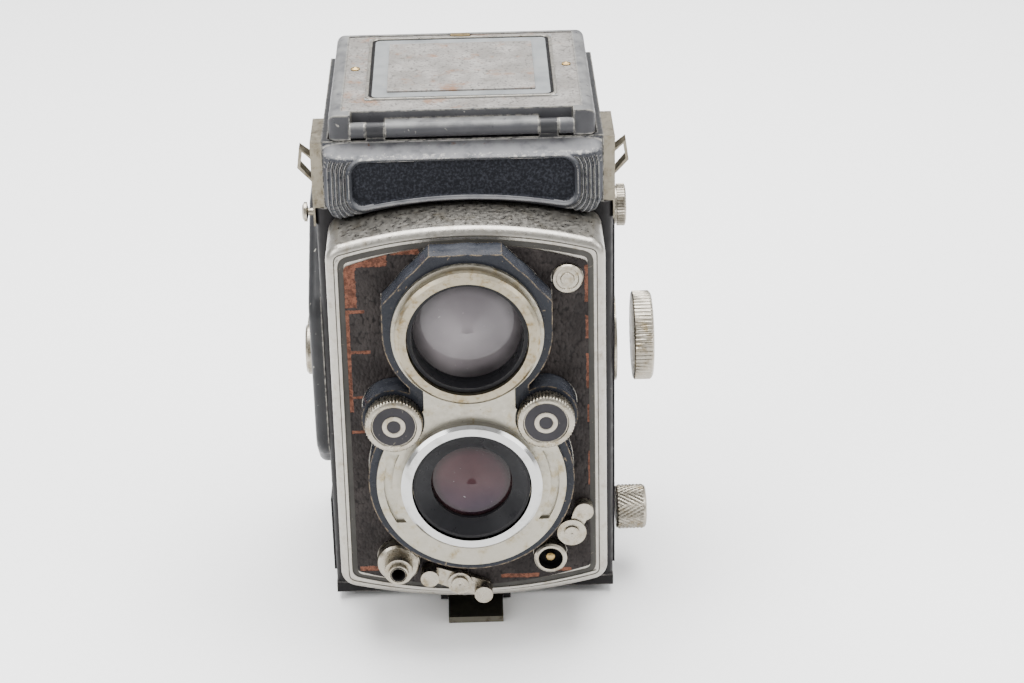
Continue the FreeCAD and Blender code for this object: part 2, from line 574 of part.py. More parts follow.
def make_cam(name, x):
    """A spiral cam: its radius grows evenly with the turn, so the standard moves evenly."""
    low = SIZES["cam_low"]
    per_degree = SIZES["cam_rise"] / SIZES["cam_turn"]
    lead = SIZES["cam_lead_in"]
    sweep = SIZES["cam_turn"] + 2 * lead
    spots = []
    for step in range(18):
        turn = sweep * step / 17 - lead
        angle = math.radians(180 + turn)
        radius = low + per_degree * turn
        spots.append(Vector(0, radius * math.cos(angle), radius * math.sin(angle)))
    curve = Part.BSplineCurve()
    curve.interpolate(spots)
    rim = Part.Wire([curve.toShape(), Part.LineSegment(spots[-1], spots[0]).toShape()])
    thickness = SIZES["cam_outer"] - SIZES["cam_inner"]
    disc = Part.Face(rim).extrude(Vector(thickness, 0, 0))
    bore = Part.makeCylinder(SIZES["shaft_radius"], thickness, Vector(0, 0, 0), Vector(1, 0, 0))
    cam = doc.addObject("Part::Feature", name)
    cam.Shape = disc.cut(bore)
    return place(cam, x, "focus_y", "focus_z")


def make_front_standard():
    plate = block("StandardPlate", "-32.5", "32.5", "lens_seat", "standard_back",
                  "24", "106")
    tubes = [rod(f"StandardTube{i}", "Y", "tube_radius", "standard_back", "front + wall + 0.5", "0", z)
             for i, z in enumerate(("taking_z", "taking_z + lens_pitch"))]
    bores = [rod(f"StandardBore{i}", "Y", "tube_radius - 1.4", "standard_back", "0", "0", z)
             for i, z in enumerate(("taking_z", "taking_z + lens_pitch"))]
    windows = [rod("TakingWindow", "Y", "12", "lens_seat - 1", "0", "0", "taking_z"),
               rod("ViewingWindow", "Y", "13.6", "lens_seat - 1", "0", "0", "taking_z + lens_pitch")]
    pillars = [rod(f"StandardPillar{i}", "Y", "pillar_radius", "panel_front + panel_skin", "standard_back",
                   x, z)
               for i, (x, z) in enumerate((("-pillar_x", "pillar_low"), ("pillar_x", "pillar_low"),
                                           ("-pillar_x", "pillar_high"), ("pillar_x", "pillar_high")))]
    arms = []
    for i, side in enumerate(("", "-1*")):
        low, high = sorted((f"{side}arm_inner", f"{side}arm_outer"), key=measure)
        reach = "focus_y - cam_low - 2*follower_radius - follower_gap"
        arms.append(block(f"StandardArm{i}", low, high, "standard_back", f"{reach} + 3.4",
                          "focus_z - arm_half", "focus_z + arm_half"))
        low, high = sorted((f"{side}arm_outer", f"{side}(cam_outer + 0.2)"), key=measure)
        arms.append(rod(f"Follower{i}", "X", "follower_radius", low, high,
                        f"{reach} + follower_radius", "focus_z"))
    solid = join("StandardSolid", plate, *tubes, *arms, *pillars)
    node(cut("FrontStandard", solid, *bores, *windows), "front_standard")


def panel_outline(inset):
    """The panel's outline, with bowed top and bottom edges, pulled in by an inset."""
    return [(f"-panel_top_half + {inset}", f"panel_top - {inset}", "panel_top_rise"),
            (f"panel_top_half - {inset}", f"panel_top - {inset}"),
            (f"panel_bottom_half - {inset}", f"panel_bottom + {inset}", "panel_bottom_drop"),
            (f"-panel_bottom_half + {inset}", f"panel_bottom + {inset}")]


def panel_slab(name, inset, depth, y, radius):
    slab = padded(name, "XZ_Plane", panel_outline(inset), depth, y=y)
    return rounded(slab, radius, lambda _, way: abs(way.y) > 0.99)


def make_front_panel():
    outer = panel_slab("PanelOuter", "0", "panel_back - panel_front", "panel_back", "panel_round")
    face = SIZES["panel_front"] - SIZES["panel_back"]
    rounded(outer, "panel_shoulder", lambda middle, _: middle.y < face + 0.01)
    inner = panel_slab("PanelInner", "panel_rim", "panel_back - panel_front - panel_skin + 1",
                       "panel_back + 1", "panel_round - panel_rim")
    holes = [rod("PanelTaking", "Y", "22", "panel_front - 1", "panel_back", "0", "taking_z"),
             rod("PanelViewing", "Y", "16", "panel_front - 1", "panel_back", "0",
                 "taking_z + lens_pitch"),
             rod("PanelRelease", "Y", "2.8", "panel_front - 1", "panel_back", "release_x", "release_z")]
    panel = cut("FrontPanel", outer, inner, *holes)
    line_out = panel_slab("LineOuter", "line_inset", "line_skin", "panel_front", "panel_round - 1.4")
    line_in = panel_slab("LineInner", "line_inset + line_width", "line_skin + 1",
                         "panel_front + 0.5", "panel_round - 2")
    node(group("PanelAndLine", panel, cut("PanelLine", line_out, line_in)), "front_panel")
    cloth = panel_slab("FrontCloth", "leather_inset", "leather_skin", "panel_front", "1.2")
    around = [
        rod("ClothTaking", "Y", "taking_rim + 0.2", "panel_front - 2", "panel_back", "0", "taking_z"),
        rod("ClothViewing", "Y", "viewing_rim + 0.2", "panel_front - 2", "panel_back", "0",
            "taking_z + lens_pitch"),
        padded("ClothPeak", "XZ_Plane", peak_outline("0.2"), "4", y="panel_front + 1"),
        block("ClothNeck", "-neck_half - 0.2", "neck_half + 0.2", "panel_front - 2", "panel_back",
              "taking_z", "taking_z + lens_pitch"),
        rod("ClothRelease", "Y", "5.7", "panel_front - 2", "panel_back", "release_x", "release_z"),
        rod("ClothFlash", "Y", "4.5", "panel_front - 2", "panel_back", "flash_x", "flash_z"),
        rod("ClothPlug", "Y", "4.1", "panel_front - 2", "panel_back", "plug_x", "plug_z"),
        rod("ClothLock", "Y", "1.6", "panel_front - 2", "panel_back", "lock_x", "lock_z"),
        rod("ClothSync", "Y", "1.6", "panel_front - 2", "panel_back", "sync_x", "sync_z"),
    ]
    for i, side in enumerate(("-1*", "")):
        around.append(rod(f"ClothBoss{i}", "Y", "dial_boss + 0.2", "panel_front - 2", "panel_back",
                          f"{side}dial_x", "dial_z"))
    node(cut("FrontLeather", cloth, *around), "front_leather")


# ---- lens housing

def peak_outline(spare):
    """The flat-topped peak over the finder lens."""
    return [(f"-viewing_rim - {spare}", "taking_z + lens_pitch"),
            (f"-viewing_rim - {spare}", "taking_z + lens_pitch + 8"),
            (f"-peak_half - {spare}", f"peak_z + {spare}"), (f"peak_half + {spare}", f"peak_z + {spare}"),
            (f"viewing_rim + {spare}", "taking_z + lens_pitch + 8"),
            (f"viewing_rim + {spare}", "taking_z + lens_pitch")]


def make_lens_housing():
    depth = ("housing_front", "panel_front")
    outer = join("HousingOuter",
                 rod("HousingTaking", "Y", "taking_rim", *depth, "0", "taking_z"),
                 rod("HousingViewing", "Y", "viewing_rim", *depth, "0", "taking_z + lens_pitch"),
                 padded("HousingPeak", "XZ_Plane", peak_outline("0"), "panel_front - housing_front",
                        y="panel_front"),
                 block("HousingNeck", "-neck_half", "neck_half", *depth, "taking_z",
                       "taking_z + lens_pitch"),
                 rod("HousingBossLeft", "Y", "dial_boss", *depth, "-dial_x", "dial_z"),
                 rod("HousingBossRight", "Y", "dial_boss", *depth, "dial_x", "dial_z"))
    inside = ("housing_front + 2", "panel_front + 1")
    tools = [rod("HousingWellTaking", "Y", "taking_rim - housing_skin", *inside, "0", "taking_z"),
             rod("HousingWellViewing", "Y", "viewing_rim - housing_skin", *inside, "0",
                 "taking_z + lens_pitch")]
    tools += [rod(f"HousingMouth{i}", "Y", "barrel_radius + 0.2", "housing_front - 1", "panel_front",
                  "0", z) for i, z in enumerate(("taking_z", "taking_z + lens_pitch"))]
    tools += [rod(f"HousingDialBore{i}", "Y", "dial_shaft + gap", "housing_front - 1",
                  "housing_front + 8", x, "dial_z") for i, x in enumerate(("-dial_x", "dial_x"))]
    node(cut("LensHousing", outer, *tools), "lens_housing")


def make_face_plate():
    depth = ("face_front", "housing_front")
    plate = join("FaceSolid",
                 rod("FaceTaking", "Y", "taking_face", *depth, "0", "taking_z"),
                 rod("FaceViewing", "Y", "viewing_face", *depth, "0", "taking_z + lens_pitch"),
                 block("FaceNeck", "-face_neck", "face_neck", *depth, "taking_z",
                       "taking_z + lens_pitch"))
    cuts = [rod(f"FaceMouth{i}", "Y", "barrel_radius + 0.2", "face_front - 1", "housing_front + 1",
                "0", z) for i, z in enumerate(("taking_z", "taking_z + lens_pitch"))]
    cuts += [rod(f"FaceDial{i}", "Y", "dial_radius + 0.4", "face_front - 1", "housing_front + 1",
                 x, "dial_z") for i, x in enumerate(("-dial_x", "dial_x"))]
    for i, side in enumerate(("-1*", "")):
        arc_out = rod(f"SlotOut{i}", "Y", "22.4", "face_front - 1", "housing_front - 0.4", "0", "taking_z")
        arc_in = rod(f"SlotIn{i}", "Y", "20.2", "face_front - 2", "housing_front", "0", "taking_z")
        low, high = sorted((f"{side}17", f"{side}30"), key=measure)
        window = block(f"SlotWindow{i}", low, high, "face_front - 1", "housing_front",
                       "taking_z - 11", "taking_z + 9")
        cuts.append(common(f"Slot{i}", cut(f"SlotArc{i}", arc_out, arc_in), window))
    node(cut("FacePlate", plate, *cuts), "face_plate")


def make_lenses():
    profile = [("bayonet_inner", "0"), ("bayonet_outer", "0"), ("bayonet_outer", "2.2"),
               ("bayonet_outer - 0.8", "3"), ("bayonet_inner", "3")]
    mouths = [turned(f"Bayonet{i}", "front", profile, y="face_front", z=z)
              for i, z in enumerate(("taking_z", "taking_z + lens_pitch"))]
    node(group("Bayonets", *mouths), "lens_bayonets")
    viewing_z = "taking_z + lens_pitch"
    barrel = turned("ViewingBarrel", "front",
                    [("13.6", "0"), ("15", "0"), ("barrel_radius", "20"), ("14", "20"), ("13.6", "16.6")],
                    y="lens_seat", z=viewing_z)
    node(barrel, "viewing_barrel")
    lens = turned("ViewingLens", "front",
                  [("0", "9"), ("13.6", "9"), ("13.6", "14.5"), ("0", "17.5")],
                  y="lens_seat", z=viewing_z)
    node(lens, "viewing_lens")
    rear = turned("ViewingRear", "front", [("0", "1"), ("13.6", "1"), ("13.6", "4"), ("0", "5.5")],
                  y="lens_seat", z=viewing_z)
    housing = turned("ShutterHousing", "front",
                     [("cell_radius", "0"), ("21.5", "0"), ("21.5", "14"), ("20.5", "15"),
                      ("cell_radius", "15")], y="lens_seat", z="taking_z")
    node(housing, "shutter_housing")
    rear_cell = turned("RearCell", "front", [("0", "0.6"), ("cell_radius", "0.6"),
                                             ("cell_radius", "5"), ("0", "6.2")],
                       y="lens_seat", z="taking_z")
    blades = []
    for count in range(5):
        angle = 360 * count / 5
        blade = padded(f"Blade{count}", "XZ_Plane",
                       [("1", "-3.2"), ("12.4", "-2", "3"), ("9", "6.2"), ("2", "3.5")], "0.25")
        blade.Placement = FreeCAD.Placement(Vector(0, 0, 0), Rotation(Vector(0, 1, 0), angle))
        for axis, text in zip("yz", ("lens_seat - 7", "taking_z")):
            blade.setExpression(f"Placement.Base.{axis}", formula(text + f" - 0.3*{count}" * (axis == "y")))
        blades.append(blade)
    iris = turned("Iris", "front", ring("4.5", "cell_radius", "9.2", "9.7"),
                  y="lens_seat", z="taking_z")
    node(group("ShutterBlades", iris, *blades), "shutter_and_iris_blades")
    middle = turned("MiddleElement", "front", [("0", "11"), ("8", "10.2"), ("cell_radius", "10.2"),
                                               ("cell_radius", "12.4"), ("8", "12.4"), ("0", "11.6")],
                    y="lens_seat", z="taking_z")
    node(group("InnerElements", rear, rear_cell, middle), "inner_lens_elements")
    cell = turned("FrontCell", "front",
                  [("10.4", "12.6"), ("cell_radius", "12.6"), ("cell_radius", "15.2"),
                   ("14.9", "15.2"), ("14.9", "20.6"), ("14.2", "20.6"), ("10.4", "18.2")],
                  y="lens_seat", z="taking_z")
    node(cell, "taking_front_cell")
    front = turned("FrontElement", "front", [("0", "14.2"), ("10.4", "14.2"), ("10.4", "17"), ("0", "19")],
                   y="lens_seat", z="taking_z")
    node(front, "taking_front_element")


def make_dials():
    for label, x in (("aperture_dial", "-dial_x"), ("speed_dial", "dial_x")):
        profile = [("0", "-7.5"), ("dial_shaft", "-7.5"), ("dial_shaft", "0.05"),
                   ("dial_radius - 0.5", "0.05"), ("dial_radius", "0.5"), ("dial_radius", "3.8"),
                   ("dial_radius - 0.7", "4.5"), ("5.4", "4.5"), ("5.2", "4"), ("0", "4")]
        node(turned(label.title().replace("_", ""), "front", profile, x, "housing_front", "dial_z"),
             label)


# ---- small controls on the front panel

def make_front_controls():
    collar = turned("ReleaseCollar", "front",
                    [("2.6", "0"), ("5.5", "0"), ("5.5", "4.2"), ("5", "4.8"), ("3.7", "4.8"),
                     ("3.7", "8.6"), ("2.6", "8.6")], "release_x", "panel_front", "release_z")
    node(collar, "release_collar")
    button = turned("ReleaseButton", "front",
                    [("0", "1.6"), ("2.55", "1.6"), ("2.55", "9.8"), ("1.9", "10"), ("1.2", "4"),
                     ("0", "4")], "release_x", "panel_front", "release_z")
    node(button, "release_button")
    flash = turned("FlashSocket", "front",
                   [("0", "0"), ("4.3", "0"), ("4.3", "3.6"), ("3.8", "4"), ("3.2", "4"), ("3.2", "1"),
                    ("1.1", "1"), ("1.1", "3"), ("0", "3")], "flash_x", "panel_front", "flash_z")
    node(flash, "flash_socket")
    plug = turned("PanelPlug", "front",
                  [("0", "0"), ("3.9", "0"), ("3.9", "1.2"), ("3.6", "1.6"), ("2.9", "1.6"),
                   ("2.7", "1.3"), ("1.8", "1.3"), ("1.6", "1.6"), ("0", "1.6")],
                  "plug_x", "panel_front", "plug_z")
    disc = rod("LockDisc", "Y", "3.8", "panel_front - 2.6", "panel_front - 0.9", "lock_x", "lock_z")
    arm = padded("LockArm", "XZ_Plane",
                 [("lock_x - 1", "lock_z + 1"), ("lock_x + 1.8", "lock_z - 1"), ("tip_x + 2", "tip_z - 0.8"),
                  ("tip_x - 2", "tip_z + 1")], "1.2", y="panel_front - 0.9")
    tip = rod("LockTip", "Y", "2.5", "panel_front - 4", "panel_front - 0.9", "tip_x", "tip_z")
    bore = rod("LockBore", "Y", "1.2 + gap", "panel_front - 5", "panel_front", "lock_x", "lock_z")
    node(cut("LockLever", join("LockSolid", disc, arm, tip), bore), "flash_lock_lever")
    lock_screw = turned("LockScrew", "front", [("0", "0"), ("1.2", "0"), ("1.2", "2.7"), ("2", "2.7"),
                                               ("2", "3.2"), ("0", "3.4")],
                        "lock_x", "panel_front", "lock_z")
    bar = padded("SyncBar", "XZ_Plane",
                 [("sync_x - 9.3", "sync_z + 1.2"), ("sync_x - 6.5", "sync_z + 4.7"),
                  ("sync_x - 2", "sync_z + 3.1"), ("sync_x + 7.9", "sync_z - 0.4"),
                  ("sync_x + 6.5", "sync_z - 4.8"), ("sync_x + 1", "sync_z - 3.4")],
                 "1.4", y="panel_front - 1.4")
    pins = [rod("SyncLeft", "Y", "2.4", "panel_front - 6", "panel_front - 1.4",
                "sync_x - 7.8", "sync_z + 2.9"),
            rod("SyncRight", "Y", "2.4", "panel_front - 6", "panel_front - 1.4",
                "sync_x + 6.2", "sync_z - 2.4")]
    hub_ring = turned("SyncHub", "front", ring("1.4", "3.2", "1.4", "3.8"),
                      "sync_x", "panel_front", "sync_z")
    bore = rod("SyncBore", "Y", "1.2 + gap", "panel_front - 9", "panel_front", "sync_x", "sync_z")
    node(cut("SyncLever", join("SyncSolid", bar, hub_ring, *pins), bore), "sync_lever")
    sync_screw = turned("SyncScrew", "front", [("0", "0"), ("1.2", "0"), ("1.2", "3.9"), ("2.2", "3.9"),
                                               ("2.2", "4.6"), ("0", "4.9")],
                        "sync_x", "panel_front", "sync_z")
    node(group("FrontScrews", plug, lock_screw, sync_screw), "front_screws")


# ---- mirror, screen and finder hood

def make_mirror_and_screen():
    low, high = "-25.2", "16.5"
    face = padded("MirrorGlass", "YZ_Plane",
                  [(low, f"{low} + mirror_rise"), (f"{low} - 1", f"{low} + 1 + mirror_rise"),
                   (f"{high} - 1", f"{high} + 1 + mirror_rise"), (high, f"{high} + mirror_rise")],
                  "2*mirror_half", "-mirror_half")
    node(face, "reflex_mirror")
    cheeks = [padded(f"MirrorCheek{i}", "YZ_Plane",
                     [("-25", "mirror_rise - 29"), ("-25", "mirror_rise - 22"),
                      ("12", "mirror_rise + 15"), ("14", "mirror_rise + 15"),
                      ("14", "mirror_rise + 10")], "1.2", x)
              for i, x in enumerate(("-mirror_half - 1.2", "mirror_half"))]
    frame = block("ScreenFrameBlock", "hood_wall - hood_half", "hood_half - hood_wall",
                  "front + hood_wall", "rear - hood_wall", "body_top", "screen_under")
    window = block("ScreenFrameWindow", "-27.5", "27.5", "-27.5", "27.5", "body_top - 1", "screen_top")
    groove = block("ScreenFrameGroove", "-30", "30", "front + hood_wall", "27.8",
                   "body_top + 0.2", "body_top + 1.4")
    node(group("MirrorBox", cut("ScreenFrame", frame, window, groove), *cheeks), "mirror_box_frame")
    node(block("ScreenGlass", "-screen_half", "screen_half", "-28", "28", "screen_under", "screen_top"),
         "focusing_screen")
    mask = cut("ParallaxMask", block("MaskPlate", "-29.8", "29.8", "-26.4", "27.6",
                                     "body_top + 0.4", "body_top + 1.2"),
               block("MaskWindow", "-26.5", "26.5", "-24", "24", "body_top", "body_top + 2"))
    node(mask, "parallax_mask")


def make_hood_base():
    outer = block("HoodOuter", "-hood_half", "hood_half", "front", "rear", "body_top", "hood_top")
    inner = block("HoodInner", "hood_wall - hood_half", "hood_half - hood_wall",
                  "front + hood_wall", "rear - hood_wall", "body_top - 1", "hood_top + 1")
    knuckles = []
    for i, side in enumerate(("-1*", "")):
        low, high = sorted((f"{side}knuckle_in", f"{side}knuckle_out"), key=measure)
        knuckles.append(rod(f"BaseKnuckle{i}", "X", "hinge_radius", low, high, "hinge_y", "hinge_z"))
        knuckles.append(block(f"BaseWeb{i}", low, high, "hinge_y", "hinge_y + 1.4",
                              "hood_top - 2", "hinge_z"))
    bore = rod("BaseHingeBore", "X", "pin_radius", "-hood_half", "hood_half", "hinge_y", "hinge_z")
    node(cut("HoodBase", join("HoodSolid", cut("HoodFrame", outer, inner), *knuckles), bore),
         "hood_base")


def make_name_housing():
    side = padded("NameSide", "YZ_Plane",
                  [("front", "name_low - 4"), ("name_front", "name_low - 4"),
                   ("name_top_front", "name_brow"), ("front", "name_ridge")],
                  "2*name_half", "-name_half")
    face = padded("NameFace", "XZ_Plane",
                  [("-name_low_half", "name_low", "name_rise"), ("name_low_half", "name_low", "-0.7"),
                   ("name_half", "124"), ("name_half", "136"), ("-name_half", "136"),
                   ("-name_half", "124", "-0.7")], "14", y="front + 2")
    solid = common("NameSolid", side, face)
    hollow = block("NameHollow", "-name_low_half + name_skin", "name_low_half - name_skin",
                   "name_top_front + name_skin", "front", "name_low + 5.5", "name_brow - 0.8")
    node(cut("NameHousing", solid, hollow), "front_nameplate_housing")


def strap_lug(side):
    """A flat strip bent into a loop, standing out from the side plate."""
    loop = [("plate_out", "lug_z - 3.4"), ("lug_reach", "lug_z + 0.6"),
            ("lug_reach - 0.7", "lug_z + 6"), ("plate_out", "lug_z + 3.6")]
    hole = [("plate_out", "lug_z - 2.6"), ("lug_reach - 0.8", "lug_z + 1"),
            ("lug_reach - 1.4", "lug_z + 5"), ("plate_out", "lug_z + 2.8")]
    solids = []
    for kind, outline, depth, y in (("Loop", loop, "4", "lug_y"), ("Hole", hole, "6", "lug_y + 1")):
        corners = [(f"{side}({u})", v) for u, v in outline]
        solids.append(padded(f"Lug{kind}{'L' if side else 'R'}", "XZ_Plane",
                             corners[::-1] if side else corners, depth, y=y))
    return cut("LugLeft" if side else "LugRight", *solids)


def make_side_plates():
    parts = []
    for side in ("-1*", ""):
        for name, inner, y_end, z_start, z_end in (
                ("PlateUpper", "hood_half", "front + 18", "body_top", "hood_top - 0.6"),
                ("PlateApron", "body_half", "front + 16", "body_top - 5", "body_top")):
            low, high = sorted((f"{side}{inner}", f"{side}plate_out"), key=measure)
            parts.append(block(name, low, high, "front + 0.5", y_end, z_start, z_end))
        parts[-2:] = [join("StrapPlate", *parts[-2:])]
        parts.append(strap_lug(side))
    node(group("StrapPlates", *parts), "strap_plates")


def make_lid():
    tray = padded("LidTray", "XY_Plane",
                  [("-lid_half", "lid_front"), ("-recess_half", "lid_front"),
                   ("-recess_half", "recess_back"), ("recess_half", "recess_back"),
                   ("recess_half", "lid_front"), ("lid_half", "lid_front"), ("lid_half", "lid_rear"),
                   ("-lid_half", "lid_rear")], "lid_top - lid_under", z="lid_under")
    height = SIZES["lid_top"] - SIZES["lid_under"]
    rounded(tray, "lid_round", lambda middle, way: (
        (abs(way.z) > 0.99 and abs(middle.x) > SIZES["lid_half"] - 0.1)
        or (middle.z > height - 0.01 and (abs(middle.x) > SIZES["lid_half"] - 0.1
                                          or middle.y > SIZES["lid_rear"] - 0.1))))
    inside = block("LidInside", "lid_wall - lid_half", "lid_half - lid_wall", "recess_back + lid_wall",
                   "lid_rear - lid_wall", "lid_under - 1", "lid_ceiling")
    floor = block("LidRecess", "-cloth_half", "cloth_half", "cloth_front", "cloth_rear",
                  "lid_floor", "lid_top + 1")
    barrel = join("LidBarrelSolid",
                  rod("LidBarrel", "X", "hinge_radius", "-knuckle_in + 0.1", "knuckle_in - 0.1",
                      "hinge_y", "hinge_z"),
                  block("LidBarrelWeb", "-knuckle_in + 0.1", "knuckle_in - 0.1", "hinge_y",
                        "recess_back + 0.3", "hinge_z - 0.4", "hinge_z + 2"))
    ends = [rod(f"LidBarrelEnd{i}", "X", "hinge_radius", *span, "hinge_y", "hinge_z")
            for i, span in enumerate((("-recess_half - 0.2", "-knuckle_out - 0.1"),
                                      ("knuckle_out + 0.1", "recess_half + 0.2")))]
    bore = rod("LidBore", "X", "pin_radius + gap", "1 - recess_half", "recess_half - 1",
               "hinge_y", "hinge_z")
    shell = cut("LidShell", tray, inside, floor)
    node(cut("HoodLid", join("LidSolid", shell, barrel, *ends), bore),
         "hood_lid")
    cloth = block("LidCloth", "-cloth_half", "cloth_half", "cloth_front", "cloth_rear",
                  "lid_floor", "cloth_top")
    gap = block("LidClothGap", "-flap_half", "flap_half", "flap_front", "flap_rear",
                "lid_floor - 1", "cloth_top + 1")
    notch = block("LidClothNotch", "-2.8", "2.8", "cloth_rear - 2.2", "cloth_rear + 1",
                  "lid_floor - 1", "cloth_top + 1")
    inset = block("FlapCloth", "-inset_half", "inset_half", "inset_front", "inset_rear", "flap_top",
                  "inset_top")
    node(group("LidLeathers", cut("LidLeather", cloth, gap, notch), inset), "lid_leathers")
    flap = block("FlapPlate", "-flap_half", "flap_half", "flap_front", "flap_rear", "lid_floor",
                 "flap_top")
    node(flap, "finder_flap")
    catch = block("LidCatch", "-2.6", "2.6", "cloth_rear - 2", "cloth_rear", "lid_floor", "142.4")
    rivets = [turned(f"LidRivet{i}", "up", [("0", "0"), ("1.2", "0"), ("1.2", "0.3"), ("0", "0.8")],
                     x, "3", "cloth_top") for i, x in enumerate(("-27.7", "27.7"))]
    node(group("LidFittings", catch, *rivets), "lid_catch_and_rivets")
    mount = turned("MagnifierRing", "up", ring("12.4", "13.8", "0", "4"), "0", "4", "135.4")
    stem = block("MagnifierStem", "-5", "5", "-22", "-8.6", "137", "lid_ceiling")
    lens = turned("MagnifierLens", "up", [("0", "0.2"), ("12.4", "1.4"), ("12.4", "2.6"), ("0", "3.8")],
                  "0", "4", "135.4")
    node(group("Magnifier", join("MagnifierArm", mount, stem), lens), "magnifier")


def make_leaves():
    front, rear = "leaf_front", "leaf_rear"
    near = "leaf_axis_x - 4"
    far = "leaf_axis_x - leaf_reach"
    for label, side in (("left_hood_leaf", "-1*"), ("right_hood_leaf", "")):
        corners = [("leaf_axis_x", front), ("leaf_axis_x - 23", front), (far, f"{front} + 4.5"),
                   (far, f"{rear} - 21.5"), (near, rear), ("leaf_axis_x", rear)]
        outline = [(f"{side}({u})", v) for u, v in corners]
        if side:
            outline = outline[::-1]
        name = label.title().replace("_", "")
        leaf = padded(name + "Sheet", "XY_Plane", outline, "leaf_skin", z="leaf_z - leaf_skin/2")
        barrel = rod(name + "Barrel", "Y", "leaf_barrel", f"{front} + 6", f"{rear} - 6",
                     f"{side}leaf_axis_x", "leaf_z")
        bore = rod(name + "Bore", "Y", "0.5 + gap", "front", "rear", f"{side}leaf_axis_x", "leaf_z")
        node(cut(name, join(name + "Solid", leaf, barrel), bore), label)
    sheet_metal = block("RearLeafSheet", "-rear_leaf_half", "rear_leaf_half",
                        "rear_leaf_y - rear_leaf_reach", "rear_leaf_y",
                        "rear_leaf_z - leaf_skin/2", "rear_leaf_z + leaf_skin/2")
    barrel = rod("RearLeafBarrel", "X", "leaf_barrel", "-24", "24", "rear_leaf_y", "rear_leaf_z")
    bore = rod("RearLeafBore", "X", "0.5 + gap", "-40", "40", "rear_leaf_y", "rear_leaf_z")
    node(cut("RearLeaf", join("RearLeafSolid", sheet_metal, barrel), bore), "rear_hood_leaf")


def make_side_leathers():
    right = block("RightClothBlock", "body_half", "body_half + leather_skin", "front + 3",
                  "rear - 4", "8", "body_top - 8")
    holes = [rod("RightClothFocus", "X", "focus_collar + 1", "body_half - 1", "body_half + 2",
                 "focus_y", "focus_z"),
             rod("RightClothLower", "X", "5.2", "body_half - 1", "body_half + 2", "supply_y", "supply_z"),
             rod("RightClothUpper", "X", "5.0", "body_half - 1", "body_half + 2", "spool_y", "spool_z")]
    left = block("LeftCloth", "-body_half - leather_skin", "-body_half", "front + 3", "rear - 4",
                 "8", "30")
    node(group("SideLeathers", cut("RightLeather", right, *holes), left), "side_leathers")
    node(block("BackCloth", "-body_half + 3", "body_half - 3", "rear", "rear + leather_skin",
               "8", "door_top - 5"), "back_leather")


for make in (make_body_shell, make_film_gate, make_back_door, make_back_latch, make_pressure_plate,
             make_spool_and_drive, make_drive_gears, make_gear_cover, make_crank, make_reset_button,
             make_wall_bushes, make_hinge_pins, make_focus_drive, make_front_standard,
             make_front_panel, make_lens_housing, make_face_plate, make_lenses, make_dials,
             make_front_controls, make_mirror_and_screen, make_hood_base, make_name_housing,
             make_side_plates, make_lid, make_leaves, make_side_leathers):
    make()
    doc.recompute()

doc.recompute()
for thing in doc.Objects:
    if {"Invalid", "Error"} & set(thing.State):
        raise RuntimeError(f"{thing.Label} did not compute: {thing.getStatusString()}")
for thing in NODES:
    if thing.Shape.isNull() or not thing.Shape.isValid():
        raise RuntimeError(f"{thing.Label} has no valid shape")

os.makedirs("parts", exist_ok=True)
for thing in NODES:
    thing.Shape.exportStep(f"parts/{thing.Label}.step")
print(len(NODES), "parts written")
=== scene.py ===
"""Looks of the twin lens reflex camera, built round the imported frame.

Lengths are millimetres until solid() turns them into metres. Front is -Y, right is +X, up is +Z.
"""
import math

import bmesh
import bpy
from mathutils import Matrix, Vector


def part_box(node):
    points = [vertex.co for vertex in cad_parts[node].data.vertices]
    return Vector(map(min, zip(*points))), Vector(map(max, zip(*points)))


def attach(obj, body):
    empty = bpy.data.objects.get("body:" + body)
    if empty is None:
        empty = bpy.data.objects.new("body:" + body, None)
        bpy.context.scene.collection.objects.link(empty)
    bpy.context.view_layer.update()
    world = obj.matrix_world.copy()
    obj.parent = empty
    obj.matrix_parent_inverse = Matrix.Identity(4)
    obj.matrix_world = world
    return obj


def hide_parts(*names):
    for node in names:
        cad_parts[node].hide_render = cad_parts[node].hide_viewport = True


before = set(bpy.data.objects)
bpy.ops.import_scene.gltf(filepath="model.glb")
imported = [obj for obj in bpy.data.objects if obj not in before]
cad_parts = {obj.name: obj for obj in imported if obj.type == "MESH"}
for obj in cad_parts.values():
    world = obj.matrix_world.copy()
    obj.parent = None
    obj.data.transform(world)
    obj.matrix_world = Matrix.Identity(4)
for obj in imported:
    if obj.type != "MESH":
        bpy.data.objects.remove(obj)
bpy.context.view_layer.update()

MM = 0.001
TURN = 2 * math.pi


def box(node):
    """A CAD node's lowest and highest corners in millimetres."""
    low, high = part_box(node)
    return Vector(low) / MM, Vector(high) / MM


# ---- colours and materials

# The studio is bright enough to turn the floor white, so painted colours reflect only this share.
REFLECTED = 0.5


def tone(red, green, blue):
    """A display colour, 0 to 255, as the linear colour that a shader takes in the bright studio."""
    linear = [(c / 255 / 12.92) if c < 10.3 else ((c / 255 + 0.055) / 1.055) ** 2.4
              for c in (red, green, blue)]
    return (*(c * REFLECTED for c in linear), 1.0)


